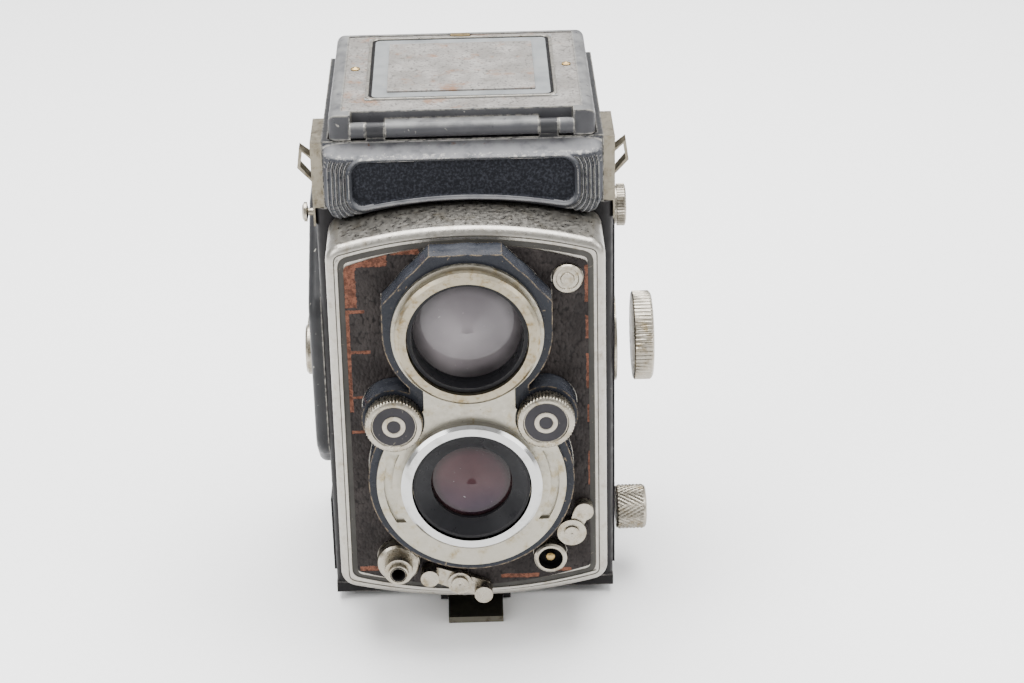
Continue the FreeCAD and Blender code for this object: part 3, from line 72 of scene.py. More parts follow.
class Finish:
    """One procedural material. Each method adds nodes and returns the socket with its result."""

    def __init__(self, name, colour, roughness, metallic=0.0, **sockets):
        self.material = bpy.data.materials.new(name)
        self.material.use_nodes = True
        self.tree = self.material.node_tree
        self.tree.nodes.clear()
        end = self.add("ShaderNodeOutputMaterial")
        self.surface = self.add("ShaderNodeBsdfPrincipled")
        self.tree.links.new(self.surface.outputs[0], end.inputs[0])
        self.where = self.add("ShaderNodeTexCoord").outputs["Object"]
        self.set("Base Color", colour)
        self.set("Roughness", roughness)
        self.set("Metallic", metallic)
        for socket, value in sockets.items():
            self.set(socket.replace("_", " "), value)

    def add(self, kind, **settings):
        made = self.tree.nodes.new(kind)
        for key, value in settings.items():
            setattr(made, key, value)
        return made

    def feed(self, socket, value):
        if isinstance(value, bpy.types.NodeSocket):
            self.tree.links.new(value, socket)
        else:
            socket.default_value = value

    def set(self, socket, value):
        self.feed(self.surface.inputs[socket], value)

    def noise(self, size, detail=4.0, roughness=0.6, warp=0.0):
        """Soft noise with features of the given size in millimetres."""
        made = self.add("ShaderNodeTexNoise")
        self.feed(made.inputs["Vector"], self.where)
        made.inputs["Scale"].default_value = 1 / (size * MM)
        made.inputs["Detail"].default_value = detail
        made.inputs["Roughness"].default_value = roughness
        made.inputs["Distortion"].default_value = warp
        return made.outputs[0]

    def cells(self, size, warped=0.0, stretch=(1, 1, 1)):
        """Distance to the nearest of scattered points."""
        made = self.add("ShaderNodeTexVoronoi", feature="F1")
        scaled = self.add("ShaderNodeVectorMath", operation="MULTIPLY")
        self.feed(scaled.inputs[0], self.where)
        scaled.inputs[1].default_value = stretch
        place = scaled.outputs[0]
        if warped:
            wobble = self.add("ShaderNodeTexNoise")
            self.feed(wobble.inputs["Vector"], self.where)
            wobble.inputs["Scale"].default_value = 1 / (size * 2 * MM)
            shift = self.add("ShaderNodeVectorMath", operation="SCALE")
            self.feed(shift.inputs[0], wobble.outputs["Color"])
            shift.inputs["Scale"].default_value = warped * MM
            moved = self.add("ShaderNodeVectorMath", operation="ADD")
            self.feed(moved.inputs[0], place)
            self.feed(moved.inputs[1], shift.outputs[0])
            place = moved.outputs[0]
        self.feed(made.inputs["Vector"], place)
        made.inputs["Scale"].default_value = 1 / (size * MM)
        return made.outputs["Distance"]

    def sums(self, operation, first, second=0.0):
        made = self.add("ShaderNodeMath", operation=operation)
        self.feed(made.inputs[0], first)
        self.feed(made.inputs[1], second)
        return made.outputs[0]

    def step(self, value, low, high, out_low=0.0, out_high=1.0):
        """0 below low and 1 above high, or the other way when low is above high."""
        made = self.add("ShaderNodeMapRange", interpolation_type="SMOOTHSTEP")
        if low > high:
            low, high, out_low, out_high = high, low, out_high, out_low
        self.feed(made.inputs["Value"], value)
        made.inputs["From Min"].default_value = low
        made.inputs["From Max"].default_value = high
        made.inputs["To Min"].default_value = out_low
        made.inputs["To Max"].default_value = out_high
        return made.outputs["Result"]

    def mix(self, factor, first, second):
        made = self.add("ShaderNodeMix", data_type="RGBA")
        self.feed(made.inputs[0], factor)
        self.feed(made.inputs[6], first)
        self.feed(made.inputs[7], second)
        return made.outputs[2]

    def edges(self, radius, low=0.004, high=0.06):
        """1 along edges, found by comparing a rounded normal with the true one."""
        soft = self.add("ShaderNodeBevel", samples=6)
        soft.inputs["Radius"].default_value = radius * MM
        true = self.add("ShaderNodeNewGeometry")
        alike = self.add("ShaderNodeVectorMath", operation="DOT_PRODUCT")
        self.feed(alike.inputs[0], soft.outputs[0])
        self.feed(alike.inputs[1], true.outputs["Normal"])
        return self.step(alike.outputs["Value"], 1 - low, 1 - high)

    def facing_up(self):
        parts = self.add("ShaderNodeSeparateXYZ")
        self.feed(parts.inputs[0], self.add("ShaderNodeTexCoord").outputs["Normal"])
        return self.step(parts.outputs["Z"], 0.3, 0.9)

    def along(self, axis):
        """One coordinate in millimetres."""
        parts = self.add("ShaderNodeSeparateXYZ")
        self.feed(parts.inputs[0], self.where)
        return self.sums("MULTIPLY", parts.outputs[axis], 1 / MM)

    def spot(self, centre, radius, ragged, ragged_size):
        """1 inside a ragged-edged ball round a place."""
        soft = 0.15
        gap = self.add("ShaderNodeVectorMath", operation="DISTANCE")
        self.feed(gap.inputs[0], self.where)
        gap.inputs[1].default_value = [c * MM for c in centre]
        distance = self.sums("MULTIPLY", gap.outputs["Value"], 1 / MM)
        shift = self.sums("MULTIPLY", self.noise(ragged_size, 5, 0.7), ragged)
        distance = self.sums("ADD", distance, shift)
        return self.step(distance, radius + ragged / 2 + soft, radius + ragged / 2 - soft)

    def strip(self, x, z, half_x, half_z, ragged):
        """1 inside a ragged-edged oblong on a flat front face."""
        soft, ragged_size = 0.12, 1.7
        gaps = []
        for axis, middle, half in (("X", x, half_x), ("Z", z, half_z)):
            away = self.sums("ABSOLUTE", self.sums("SUBTRACT", self.along(axis), middle), 0)
            gaps.append(self.sums("SUBTRACT", away, half))
        shift = self.sums("MULTIPLY", self.noise(ragged_size, 6, 0.75), ragged * 2)
        distance = self.sums("ADD", self.sums("MAXIMUM", *gaps), shift)
        return self.step(distance, ragged + soft, ragged - soft)

    def bump(self, height, depth, strength=1.0):
        made = self.add("ShaderNodeBump")
        made.inputs["Strength"].default_value = strength
        made.inputs["Distance"].default_value = depth * MM
        self.feed(made.inputs["Height"], height)
        self.set("Normal", made.outputs[0])


def enamel(name, colour, bare, wear, dust=None, dust_and_sheen_amount=0.0, roughness=0.32, speck=0.62):
    """Old gloss paint: rubbed to metal on its edges, finely scratched, lighter on top with dust and
    painted sheen.
    """
    finish = Finish(name, colour, roughness, Specular_IOR_Level=0.15)
    cloud = finish.noise(9, 4)
    shade = finish.mix(finish.step(cloud, 0.3, 0.75), colour, [c * 1.35 for c in colour[:3]] + [1])
    if dust:
        # A lighter film on up-facing faces: dust, and also painted sheen of the light from above,
        # heaviest on the hood lid and flap.
        film = finish.sums("MULTIPLY", finish.facing_up(), finish.step(finish.noise(5, 6), 0.2, 0.7))
        shade = finish.mix(finish.sums("MULTIPLY", film, dust_and_sheen_amount), shade, dust)
    rub = finish.sums("MULTIPLY", finish.edges(wear), finish.step(finish.noise(1.6, 6, 0.7), 0.36, 0.6))
    chips = finish.step(finish.noise(1.3, 3, 0.5, warp=0.6), speck, speck + 0.03)
    shown = finish.sums("MAXIMUM", rub, finish.sums("MULTIPLY", chips, 0.7))
    finish.set("Base Color", finish.mix(shown, shade, bare))
    finish.set("Roughness", finish.step(finish.noise(2.5, 5), 0.2, 0.8, roughness - 0.08,
                                        roughness + 0.16))
    finish.set("Metallic", finish.sums("MULTIPLY", shown, 0.6))
    finish.bump(finish.noise(0.35, 3), 0.01, 0.5)
    return finish.material


def metal(name, colour, stain, roughness=0.28, stained=0.5, grain=0.5, dark=None):
    """Plated or bare metal with a cloudy tarnish and fine handling marks."""
    finish = Finish(name, colour, roughness, 1.0)
    cloud = finish.step(finish.noise(3.5, 6, 0.7), 0.62 - stained * 0.25, 0.78 - stained * 0.1)
    shade = finish.mix(cloud, colour, stain)
    if dark:
        pits = finish.step(finish.noise(0.8, 4, 0.6, warp=0.4), 0.69, 0.77)
        shade = finish.mix(pits, shade, dark)
    finish.set("Base Color", shade)
    finish.set("Roughness", finish.step(finish.noise(1.2, 6, 0.7), 0.25, 0.75, roughness - 0.08,
                                        roughness + 0.2))
    finish.bump(finish.noise(grain, 4), 0.012, 0.5)
    return finish.material


def leather(name, colour, light, torn, tears=(), strips=(), grain=1.1, depth=0.22, roughness=0.5,
            brown=0.0):
    """Pebbled leather, with torn places where the fibre under its surface shows."""
    finish = Finish(name, colour, roughness, Specular_IOR_Level=0.1)
    pebbles = finish.cells(grain, warped=grain * 0.9, stretch=(1, 1, 0.62))
    fine = finish.noise(grain * 0.35, 4, 0.65)
    height = finish.sums("SUBTRACT", finish.sums("MULTIPLY", fine, 0.45), pebbles)
    shade = finish.mix(finish.step(finish.noise(7, 4), 0.35, 0.75), colour, light)
    shade = finish.mix(finish.step(pebbles, 0.55, 0.9), shade, [c * 0.6 for c in colour[:3]] + [1])
    if brown:
        patch = finish.step(finish.noise(8, 5, 0.7), 0.6 - brown * 0.2, 0.72)
        shade = finish.mix(patch, shade, torn)
    bare = None
    for centre, radius in tears:
        mark = finish.spot(centre, radius, ragged=radius * 1.1, ragged_size=radius * 0.7)
        bare = mark if bare is None else finish.sums("MAXIMUM", bare, mark)
    for x, z, half_x, half_z, ragged in strips:
        mark = finish.strip(x, z, half_x, half_z, ragged)
        bare = mark if bare is None else finish.sums("MAXIMUM", bare, mark)
    if bare is not None:
        fibre = finish.mix(finish.step(finish.noise(1.0, 6, 0.75), 0.42, 0.6), torn,
                           [c * 0.4 for c in torn[:3]] + [1])
        shade = finish.mix(bare, shade, fibre)
        height = finish.sums("SUBTRACT", height, finish.sums("MULTIPLY", bare, 0.8))
    finish.set("Base Color", shade)
    finish.set("Roughness", finish.step(finish.noise(1.5, 4), 0.3, 0.7, roughness - 0.1,
                                        roughness + 0.15))
    finish.bump(height, depth, 0.9)
    return finish.material


def lens_glass(name, rim, middle, low_colour, centre, radius, roughness=0.04, haze=0.0):
    """Coated glass in front of a dark barrel: a colour that changes across it, and some dust."""
    finish = Finish(name, middle, roughness, Coat_Weight=0.1, Coat_Roughness=0.03,
                    Specular_IOR_Level=0.25)
    away = finish.add("ShaderNodeVectorMath", operation="DISTANCE")
    finish.feed(away.inputs[0], finish.where)
    away.inputs[1].default_value = [c * MM for c in centre]
    share = finish.sums("MULTIPLY", away.outputs["Value"], 1 / (radius * MM))
    height = finish.sums("SUBTRACT", finish.along("Z"), centre[2])
    shade = finish.mix(finish.step(height, -radius * 0.9, radius * 0.3), low_colour, middle)
    shade = finish.mix(finish.step(share, 0.72, 1.0), shade, rim)
    clouds = finish.step(finish.noise(radius * 1.5, 3, 0.5), 0.3, 0.8)
    shade = finish.mix(finish.sums("MULTIPLY", clouds, 0.12 + haze), shade,
                       tone(196, 188, 190) if haze else tone(168, 120, 118))
    dust = finish.step(finish.noise(0.9, 3, 0.5, warp=0.5), 0.72, 0.76)
    shade = finish.mix(finish.sums("MULTIPLY", dust, 0.5), shade, tone(215, 212, 210))
    finish.set("Base Color", shade)
    return finish.material


# The front leather's torn places: x, z, half width, half height and how ragged.
STRIPS = (
    (-28.9, 106.5, 1.5, 7.0, 1.0), (-24.0, 112.0, 4.5, 1.5, 1.0), (-15.5, 114.4, 4.0, 0.7, 0.8),
    (-28.0, 98.3, 2.4, 0.45, 0.5), (-27.6, 87.0, 3.0, 0.4, 0.5), (-28.2, 74.2, 2.2, 0.35, 0.5),
    (-28.6, 64.3, 1.6, 0.4, 0.5), (-30.0, 84.0, 0.5, 14.0, 0.5), (30.2, 104.5, 0.7, 5.0, 0.7),
    (30.3, 92.5, 0.6, 3.2, 0.6), (30.4, 80.0, 0.6, 5.0, 0.6), (30.5, 68.0, 0.5, 2.6, 0.5),
    (30.6, 52.0, 0.4, 5.0, 0.5), (-27.0, 23.4, 3.0, 0.7, 0.7), (12.0, 20.0, 5.0, 0.6, 0.7),
    (23.5, 21.6, 2.2, 0.5, 0.5),
)

LIGHT_METAL = tone(198, 194, 184)
MATERIALS = {
    "body_paint": enamel("body_paint", tone(36, 34, 35), tone(150, 146, 142), 0.5, roughness=0.42,
                         dust=tone(120, 118, 116), dust_and_sheen_amount=0.4, speck=0.72),
    "side_paint": enamel("side_paint", tone(58, 58, 60), LIGHT_METAL, 0.7, roughness=0.34, speck=0.7),
    # The hood lid and flap are black enamel: their greys and heavy top film are partly dust and partly
    # painted reflection of the bright studio on worn gloss.
    "hood_paint": enamel("hood_paint", tone(82, 82, 85), LIGHT_METAL, 0.8,
                         tone(165, 165, 163), 0.75, speck=0.7),
    "housing_paint": enamel("housing_paint", tone(44, 47, 55), tone(168, 150, 124), 0.55, roughness=0.2,
                            dust=tone(120, 122, 128), dust_and_sheen_amount=0.3, speck=0.7),
    "flap_paint": enamel("flap_paint", tone(132, 136, 138), tone(190, 186, 176), 0.5,
                         tone(172, 174, 174), 0.8, roughness=0.4, speck=0.72),
    # The lid leather is black: its pale greys are painted light, drawn as it looks under the strong
    # light from above; its brown patches and tears are real wear.
    "lid_leather": leather("lid_leather", tone(150, 146, 141), tone(186, 182, 177), tone(158, 122, 98),
                           (((-28, 142, -20), 3.0), ((-27, 142, -6), 2.6), ((28, 142, -16), 4.0),
                            ((29, 142, -2), 2.4), ((8, 142, -26), 4.0), ((22, 142, -26), 3.4)),
                           grain=0.7, depth=0.08, roughness=0.6, brown=0.35),
    "front_leather": leather("front_leather", tone(52, 47, 46), tone(76, 70, 68), tone(152, 100, 80),
                             strips=STRIPS, grain=0.8, depth=0.2, roughness=0.5),
    "side_leather": leather("side_leather", tone(46, 44, 47), tone(70, 67, 70), tone(140, 72, 48),
                            grain=1.05, depth=0.26),
    "trim": metal("trim", tone(214, 209, 199), tone(178, 168, 150), 0.3, 0.5, dark=tone(120, 110, 96)),
    "champagne": metal("champagne", tone(206, 200, 184), tone(176, 160, 124), 0.34, 0.5,
                       dark=tone(110, 98, 78)),
    "nickel": metal("nickel", tone(208, 200, 184), tone(166, 150, 120), 0.26, 0.6,
                    dark=tone(96, 84, 66)),
    "dull_nickel": metal("dull_nickel", tone(176, 168, 150), tone(122, 110, 90), 0.36, 0.7,
                         dark=tone(70, 62, 50)),
    "latch_grey": metal("latch_grey", tone(150, 146, 132), tone(110, 104, 90), 0.34, 0.6,
                        dark=tone(72, 66, 56)),
    "brass": metal("brass", tone(206, 176, 120), tone(150, 118, 74), 0.3, 0.4),
    "steel": metal("steel", tone(170, 170, 172), tone(130, 128, 126), 0.35, 0.4),
    "mirror": metal("mirror", tone(235, 236, 238), tone(225, 226, 228), 0.1, 0.1),
    "black_metal": enamel("black_metal", tone(30, 30, 33), tone(88, 86, 84), 0.25, roughness=0.3,
                          speck=0.75),
    "matt_black": enamel("matt_black", tone(16, 15, 16), tone(60, 58, 56), 0.2, roughness=0.7,
                         speck=0.8),
    "dial_dark": enamel("dial_dark", tone(58, 56, 60), tone(150, 144, 132), 0.2, roughness=0.4,
                        speck=0.7),
    "ink_white": enamel("ink_white", tone(225, 225, 222), tone(225, 225, 222), 0.1, roughness=0.5,
                        speck=0.9),
    "line_dark": enamel("line_dark", tone(78, 76, 72), tone(140, 132, 118), 0.2, roughness=0.5,
                        speck=0.68),
    "screen_glass": Finish("screen_glass", tone(205, 208, 204), 0.55).material,
}


def paint(node, material):
    """Gives every material slot of a CAD node one material."""
    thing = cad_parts[node]
    if not thing.data.materials:
        thing.data.materials.append(None)
    for place in thing.material_slots:
        place.link = "OBJECT"
        place.material = material


# ---- shapes

def solid(name, points, faces, material, body, replaces=(), slot=None, smooth=35):
    """A mesh piece from millimetre points, riding on a CAD body."""
    mesh = bpy.data.meshes.new(name)
    mesh.from_pydata([[c * MM for c in p] for p in points], [], faces)
    shape = bmesh.new()
    shape.from_mesh(mesh)
    bmesh.ops.remove_doubles(shape, verts=shape.verts, dist=1e-7)
    bmesh.ops.recalc_face_normals(shape, faces=shape.faces)
    shape.to_mesh(mesh)
    shape.free()
    mesh.shade_smooth()
    mesh.set_sharp_from_angle(angle=math.radians(smooth))
    mesh.materials.append(MATERIALS[material] if isinstance(material, str) else material)
    piece = bpy.data.objects.new(name, mesh)
    bpy.context.scene.collection.objects.link(piece)
    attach(piece, body)
    if replaces:
        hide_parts(*replaces)
    return piece


def aimed(way, origin, along, radius, angle):
    """A point round an axis that runs to the front or to the right from the origin."""
    across, up = radius * math.cos(angle), radius * math.sin(angle)
    x, y, z = origin
    if way == "front":
        return (x + across, y - along, z + up)
    return (x + along, y + across, z + up)


def lathe(name, way, origin, profile, material, body, steps=96, ribs=0, depth=0.0, closed=True,
          **facts):
    """A turned piece. A profile point with a third value is cut by ribs to that share of depth."""
    if ribs:
        steps = ribs * 4
    points = []
    for spot in profile:
        along, radius = spot[:2]
        share = spot[2] if len(spot) > 2 else 0
        for i in range(steps):
            dip = depth * share if ribs and i % 4 in (0, 1) else 0
            points.append(aimed(way, origin, along, max(radius - dip, 0), TURN * i / steps))
    rows = len(profile)
    faces = []
    for row in range(rows if closed else rows - 1):
        for i in range(steps):
            a, b = row * steps + i, row * steps + (i + 1) % steps
            c = ((row + 1) % rows) * steps
            faces.append((a, b, c + (i + 1) % steps, c + i))
    return solid(name, points, faces, material, body, **facts)


def knurled(name, way, origin, radius, start, end, material, body, teeth, depth, rows, **facts):
    """A rim with crossed knurling between two rounded lips."""
    steps = teeth * 4
    points = []
    for row in range(rows + 1):
        along = start + (end - start) * row / rows
        for i in range(steps):
            swing = teeth * i / steps
            climb = row * 0.25
            ridge = abs((swing + climb) % 1 - 0.5) + abs((swing - climb) % 1 - 0.5)
            dip = depth * (1 - ridge) if 0 < row < rows else depth
            points.append(aimed(way, origin, along, radius - dip, TURN * i / steps))
    faces = []
    for row in range(rows):
        for i in range(steps):
            a, b = row * steps + i, row * steps + (i + 1) % steps
            faces.append((a, b, b + steps, a + steps))
    faces.append(tuple(range(steps)))
    faces.append(tuple(range(rows * steps, (rows + 1) * steps)))
    return solid(name, points, faces, material, body, smooth=20, **facts)


def frame_slab(name, outline, hole, y_front, y_back, material, body, **facts):
    """A flat frame parallel to the front, between two outlines of as many (x, z) points."""
    count = len(outline)
    points = [(x, y, z) for line in (outline, hole) for y in (y_front, y_back) for x, z in line]
    outer_front, outer_back, inner_front, inner_back = (count * k for k in range(4))
    faces = []
    for a, b in ((outer_front, outer_back), (inner_front, inner_back), (outer_front, inner_front),
                 (outer_back, inner_back)):
        faces += [(a + i, a + (i + 1) % count, b + (i + 1) % count, b + i) for i in range(count)]
    return solid(name, points, faces, material, body, **facts)


def round_front(node):
    """The front centre and the radius of a round CAD node that faces the front."""
    low, high = box(node)
    return ((low.x + high.x) / 2, low.y, (low.z + high.z) / 2), (high.x - low.x) / 2


def round_side(node):
    """The axis, the radius and the outer end of a round CAD node on the right-hand side."""
    low, high = box(node)
    return (0, (low.y + high.y) / 2, (low.z + high.z) / 2), (high.y - low.y) / 2, high.x


# ---- nameplate housing

def name_housing():
    """The sloping cover over the finder lens: a blank sunk panel in a raised border, fluted cheeks."""
    low, high = box("front_nameplate_housing")
    half, back, top = high.x, high.y, high.z
    brow_y, brow_z = low.y + 3.0, top - 2.4
    front_lean, top_lean, brow_soft = 0.13, 2.5, 0.5
    bow_rise, bow_half = 4.7, 32.6
    corner_reach, side_round, under_round, under_depth = 5, 1.6, 1.2, 1.0
    cheek_start, cheek_sweep = 28.5, 2.4
    panel_half, panel_round, panel_sink = 28.2, 3.6, 0.9
    panel_top, panel_floor, panel_bow = brow_z - 0.9, low.z + 3.1, 2.9
    border_rise, border_middle, border_half = 0.5, 0.55, 0.6
    flute_depth, flute_pitch, flute_start, flute_end = 0.7, 1.05, 1.3, 7.2
    flute_side, flute_fade = 24.5, 3
    columns, rows, face_share = 264, 132, 0.8
    face_top = brow_z - 0.6

    def quarter_round(share):
        """How far a rounded edge has fallen away, 0 to 1, at a share of its width."""
        return 1 - math.sqrt(max(1 - share * share, 0))

    def lower_edge(x):
        bow = low.z + bow_rise * (1 - (x / bow_half) ** 2)
        turn = max(abs(x) - (half - corner_reach), 0) / corner_reach
        return max(bow, low.z) + corner_reach * quarter_round(turn)

    def from_panel(x, z):
        """Signed distance to the sunk panel's rounded outline."""
        floor = panel_floor + panel_bow * (1 - (x / panel_half) ** 2)
        middle, tall = (panel_top + floor) / 2, (panel_top - floor) / 2
        side = abs(x) - panel_half + panel_round
        rise = abs(z - middle) - tall + panel_round
        outside = math.hypot(max(side, 0), max(rise, 0))
        return outside + min(max(side, rise), 0) - panel_round

    def ease(value):
        value = min(max(value, 0), 1)
        return value * value * (3 - 2 * value)

    def surface(x, z):
        """How far back the cover's skin lies at a place."""
        front = brow_y + (z - brow_z) * front_lean
        slope = brow_y + (z - brow_z) * top_lean
        y = brow_soft * math.log(math.exp((front - back) / brow_soft)
                                 + math.exp((slope - back) / brow_soft)) + back
        side = max(abs(x) - cheek_start, 0) / (half - cheek_start)
        y += cheek_sweep * side ** 2.2
        y += side_round * quarter_round(max(1 - (half - abs(x)) / side_round, 0))
        y += under_depth * quarter_round(max(1 - (z - lower_edge(x)) / under_round, 0))
        d = from_panel(x, z)
        y += panel_sink * ease((-d - 0.1) / 0.35)
        y -= border_rise * ease(1 - abs(d - border_middle) / border_half)
        if d > flute_start:
            fade = ease((abs(x) - flute_side) / flute_fade)
            fade *= ease((brow_z - 0.2 - z) / 1.5) * ease((flute_end - d) / 0.8)
            y += flute_depth * fade * (0.5 + 0.5 * math.cos(TURN * (d - flute_start) / flute_pitch))
        return min(y, back - 0.02)

    points = []
    for row in range(rows + 1):
        share = row / rows
        for column in range(columns + 1):
            x = -half + 2 * half * column / columns
            bottom = lower_edge(x)
            if share < face_share:
                z = bottom + (face_top - bottom) * share / face_share
            else:
                z = face_top + (top - face_top) * (share - face_share) / (1 - face_share)
            points.append((x, surface(x, z), z))
    wide = columns + 1
    faces = [(r * wide + c, r * wide + c + 1, (r + 1) * wide + c + 1, (r + 1) * wide + c)
             for r in range(rows) for c in range(columns)]
    rim = list(range(wide))
    rim += [r * wide + columns for r in range(1, rows + 1)]
    rim += [rows * wide + c for c in range(columns - 1, -1, -1)]
    rim += [r * wide for r in range(rows - 1, 0, -1)]
    start = len(points)
    points += [(points[i][0], back - 0.01, points[i][2]) for i in rim]
    count = len(rim)
    faces += [(rim[i], rim[(i + 1) % count], start + (i + 1) % count, start + i) for i in range(count)]
    faces.append(tuple(start + i for i in range(count)))
    piece = solid("name_housing", points, faces, name_finish(top, brow_z), "camera_body",
                  replaces=["front_nameplate_housing"], slot="black_enamel", smooth=60)
    name_ground(piece, from_panel, brow_y + 3)


def name_finish(top, brow_z):
    """Grey paint: dusty and rust-specked at the top, rubbed bright along the brow and the edges."""
    finish = Finish("name_finish", tone(70, 74, 82), 0.45, Specular_IOR_Level=0.15)
    height = finish.along("Z")
    wear = finish.sums("MULTIPLY", finish.edges(0.45, 0.01, 0.1),
                       finish.step(finish.noise(1.5, 6, 0.7), 0.3, 0.55))
    dusty = finish.sums("MULTIPLY", finish.facing_up(), finish.step(finish.noise(4, 6), 0.1, 0.6))
    cloud = finish.step(finish.noise(8, 4), 0.3, 0.7)
    shade = finish.mix(cloud, tone(66, 68, 74), tone(88, 90, 96))
    shade = finish.mix(finish.sums("MULTIPLY", dusty, 0.8), shade, tone(158, 158, 160))
    rust = finish.step(finish.noise(2.2, 6, 0.75, warp=0.5), 0.6, 0.66)
    rear_ridge = finish.step(height, top - 1.4, top - 0.4)
    shade = finish.mix(finish.sums("MULTIPLY", rust, rear_ridge), shade, tone(120, 92, 74))
    brow = finish.sums("MULTIPLY", finish.step(height, brow_z - 0.7, brow_z - 0.2),
                       finish.step(height, brow_z + 0.6, brow_z + 0.2))
    rubbed = finish.sums("MULTIPLY", brow, finish.step(finish.noise(1.2, 6, 0.7), 0.5, 0.62))
    shade = finish.mix(finish.sums("MAXIMUM", wear, rubbed), shade, tone(206, 203, 197))
    specks = finish.step(finish.noise(0.8, 2), 0.73, 0.75)
    finish.set("Base Color", finish.mix(specks, shade, tone(190, 188, 184)))
    finish.bump(finish.noise(0.5, 4), 0.03, 0.6)
    return finish.material


def name_ground(piece, from_panel, rearmost):
    """The panel's stippled dark ground, as a second material on the faces inside the border."""
    stipple = Finish("stippled_ground", tone(56, 60, 68), 0.6, Specular_IOR_Level=0.1)
    grains = stipple.cells(0.42)
    stipple.set("Base Color", stipple.mix(stipple.step(stipple.noise(0.6, 3), 0.4, 0.7),
                                          tone(34, 36, 42), tone(66, 68, 76)))
    stipple.bump(grains, 0.1, 0.8)
    piece.data.materials.append(stipple.material)
    for face in piece.data.polygons:
        spot = face.center / MM
        if from_panel(spot.x, spot.z) < -0.25 and spot.y < rearmost:
            face.material_index = 1


# ---- front panel

def panel_outline(corner, arc_steps=26):
    """The front panel's outline as (x, z) points, with bowed ends and rounded corners."""
    low, high = box("front_panel")
    top_bow, bottom_bow, top_narrower = 5.3, 5.1, 0.4
    ends = ((1, high.x - top_narrower, high.z - top_bow, top_bow),
            (-1, high.x, low.z + bottom_bow, bottom_bow))
    points = []
    for sign, half, level, bow in ends:
        radius = (half * half + bow * bow) / (2 * bow)
        centre = level + sign * (bow - radius)
        for i in range(arc_steps + 1):
            x = -half + 2 * half * i / arc_steps
            points.append((sign * x, centre + sign * math.sqrt(radius * radius - x * x)))
    return round_corners(points, corner)


def pulled_in(points, distance):
    """An outline moved inward by a distance, point for point."""
    moved = []
    for i, (x, z) in enumerate(points):
        before, after = Vector(points[i - 1]), Vector(points[(i + 1) % len(points)])
        along = (after - before).normalized()
        moved.append((x + along.y * distance, z - along.x * distance))
    return moved


def round_corners(points, radius, arc_steps=8, sharp=0.5):
    """Replaces each sharp corner of an outline by a curve that touches both its sides."""
    spots = [Vector(p) for p in points]
    bends = {}
    for i, here in enumerate(spots):
        one, two = spots[i - 1] - here, spots[(i + 1) % len(spots)] - here
        turn = math.pi - one.angle(two)
        if turn > sharp:
            bends[i] = (one.normalized(), two.normalized(), radius * math.tan(turn / 2))
    made = []
    for i, here in enumerate(spots):
        if i in bends:
            one, two, reach = bends[i]
            for k in range(arc_steps + 1):
                t = k / arc_steps
                curve = (1 - t) ** 2 * one * reach + t * t * two * reach
                made.append(tuple(here + curve))
        elif all((here - spots[j]).length > bend[2] for j, bend in bends.items()):
            made.append(tuple(here))
    return made


def panel_lines():
    """The dark channels each side of the bright line round the leather."""
    line_skin = 0.4
    front = box("front_panel")[0].y + line_skin
    channels = (("outer_channel", 4.5, 2.0, 2.3), ("inner_channel", 6.6, 3.0, 4.55))
    for name, corner, outer, inner in channels:
        edge = panel_outline(corner)
        frame_slab(name, pulled_in(edge, outer), pulled_in(edge, inner), front - 0.06, front + 0.02,
                   "line_dark", "lens_front", slot="dark_metal")


# ---- finder hood lid

def oblong(half_x, front, back, radius, z, arc_steps=8):
    """A flat rounded oblong outline as points at one height."""
    points = []
    corners = ((half_x, back, 0), (-half_x, back, 1), (-half_x, front, 2), (half_x, front, 3))
    for x, y, quarter in corners:
        centre_x = x - math.copysign(radius, x)
        centre_y = y - radius if quarter < 2 else y + radius
        for i in range(arc_steps + 1):
            angle = TURN * (quarter + i / arc_steps) / 4
            points.append((centre_x + radius * math.cos(angle), centre_y + radius * math.sin(angle), z))
    return points


def flap_border():
    """The bright bead round the finder flap, and inside it a flat black ring of painted shade that
    stands for the gap.
    """
    low, high = box("finder_flap")
    corner, edge_soft = 2.4, 0.1
    rings = (("flap_bead", "trim", "worn_alloy", 0.05, 0.95, 0.32),
             # A flat black ring of painted shade where the gap would be.
             ("flap_gap_painted_shade", "matt_black", "dark_metal", 0.95, 1.75, 0.03))
    for name, material, slot, outer, inner, rise in rings:
        middle = (outer + inner) / 2
        section = ((outer, 0), (outer + edge_soft, rise * 0.7), (middle, rise),
                   (inner - edge_soft, rise * 0.7), (inner, 0))
        loops = [oblong(high.x - inset, low.y + inset, high.y - inset, corner - inset * 0.5,
                        high.z + lift) for inset, lift in section]
        count = len(loops[0])
        points = [spot for loop in loops for spot in loop]
        faces = [(k * count + i, k * count + (i + 1) % count, (k + 1) * count + (i + 1) % count,
                  (k + 1) * count + i) for k in range(len(loops) - 1) for i in range(count)]
        solid(name, points, faces, material, "hood_lid", slot=slot)


# ---- small fittings on the front

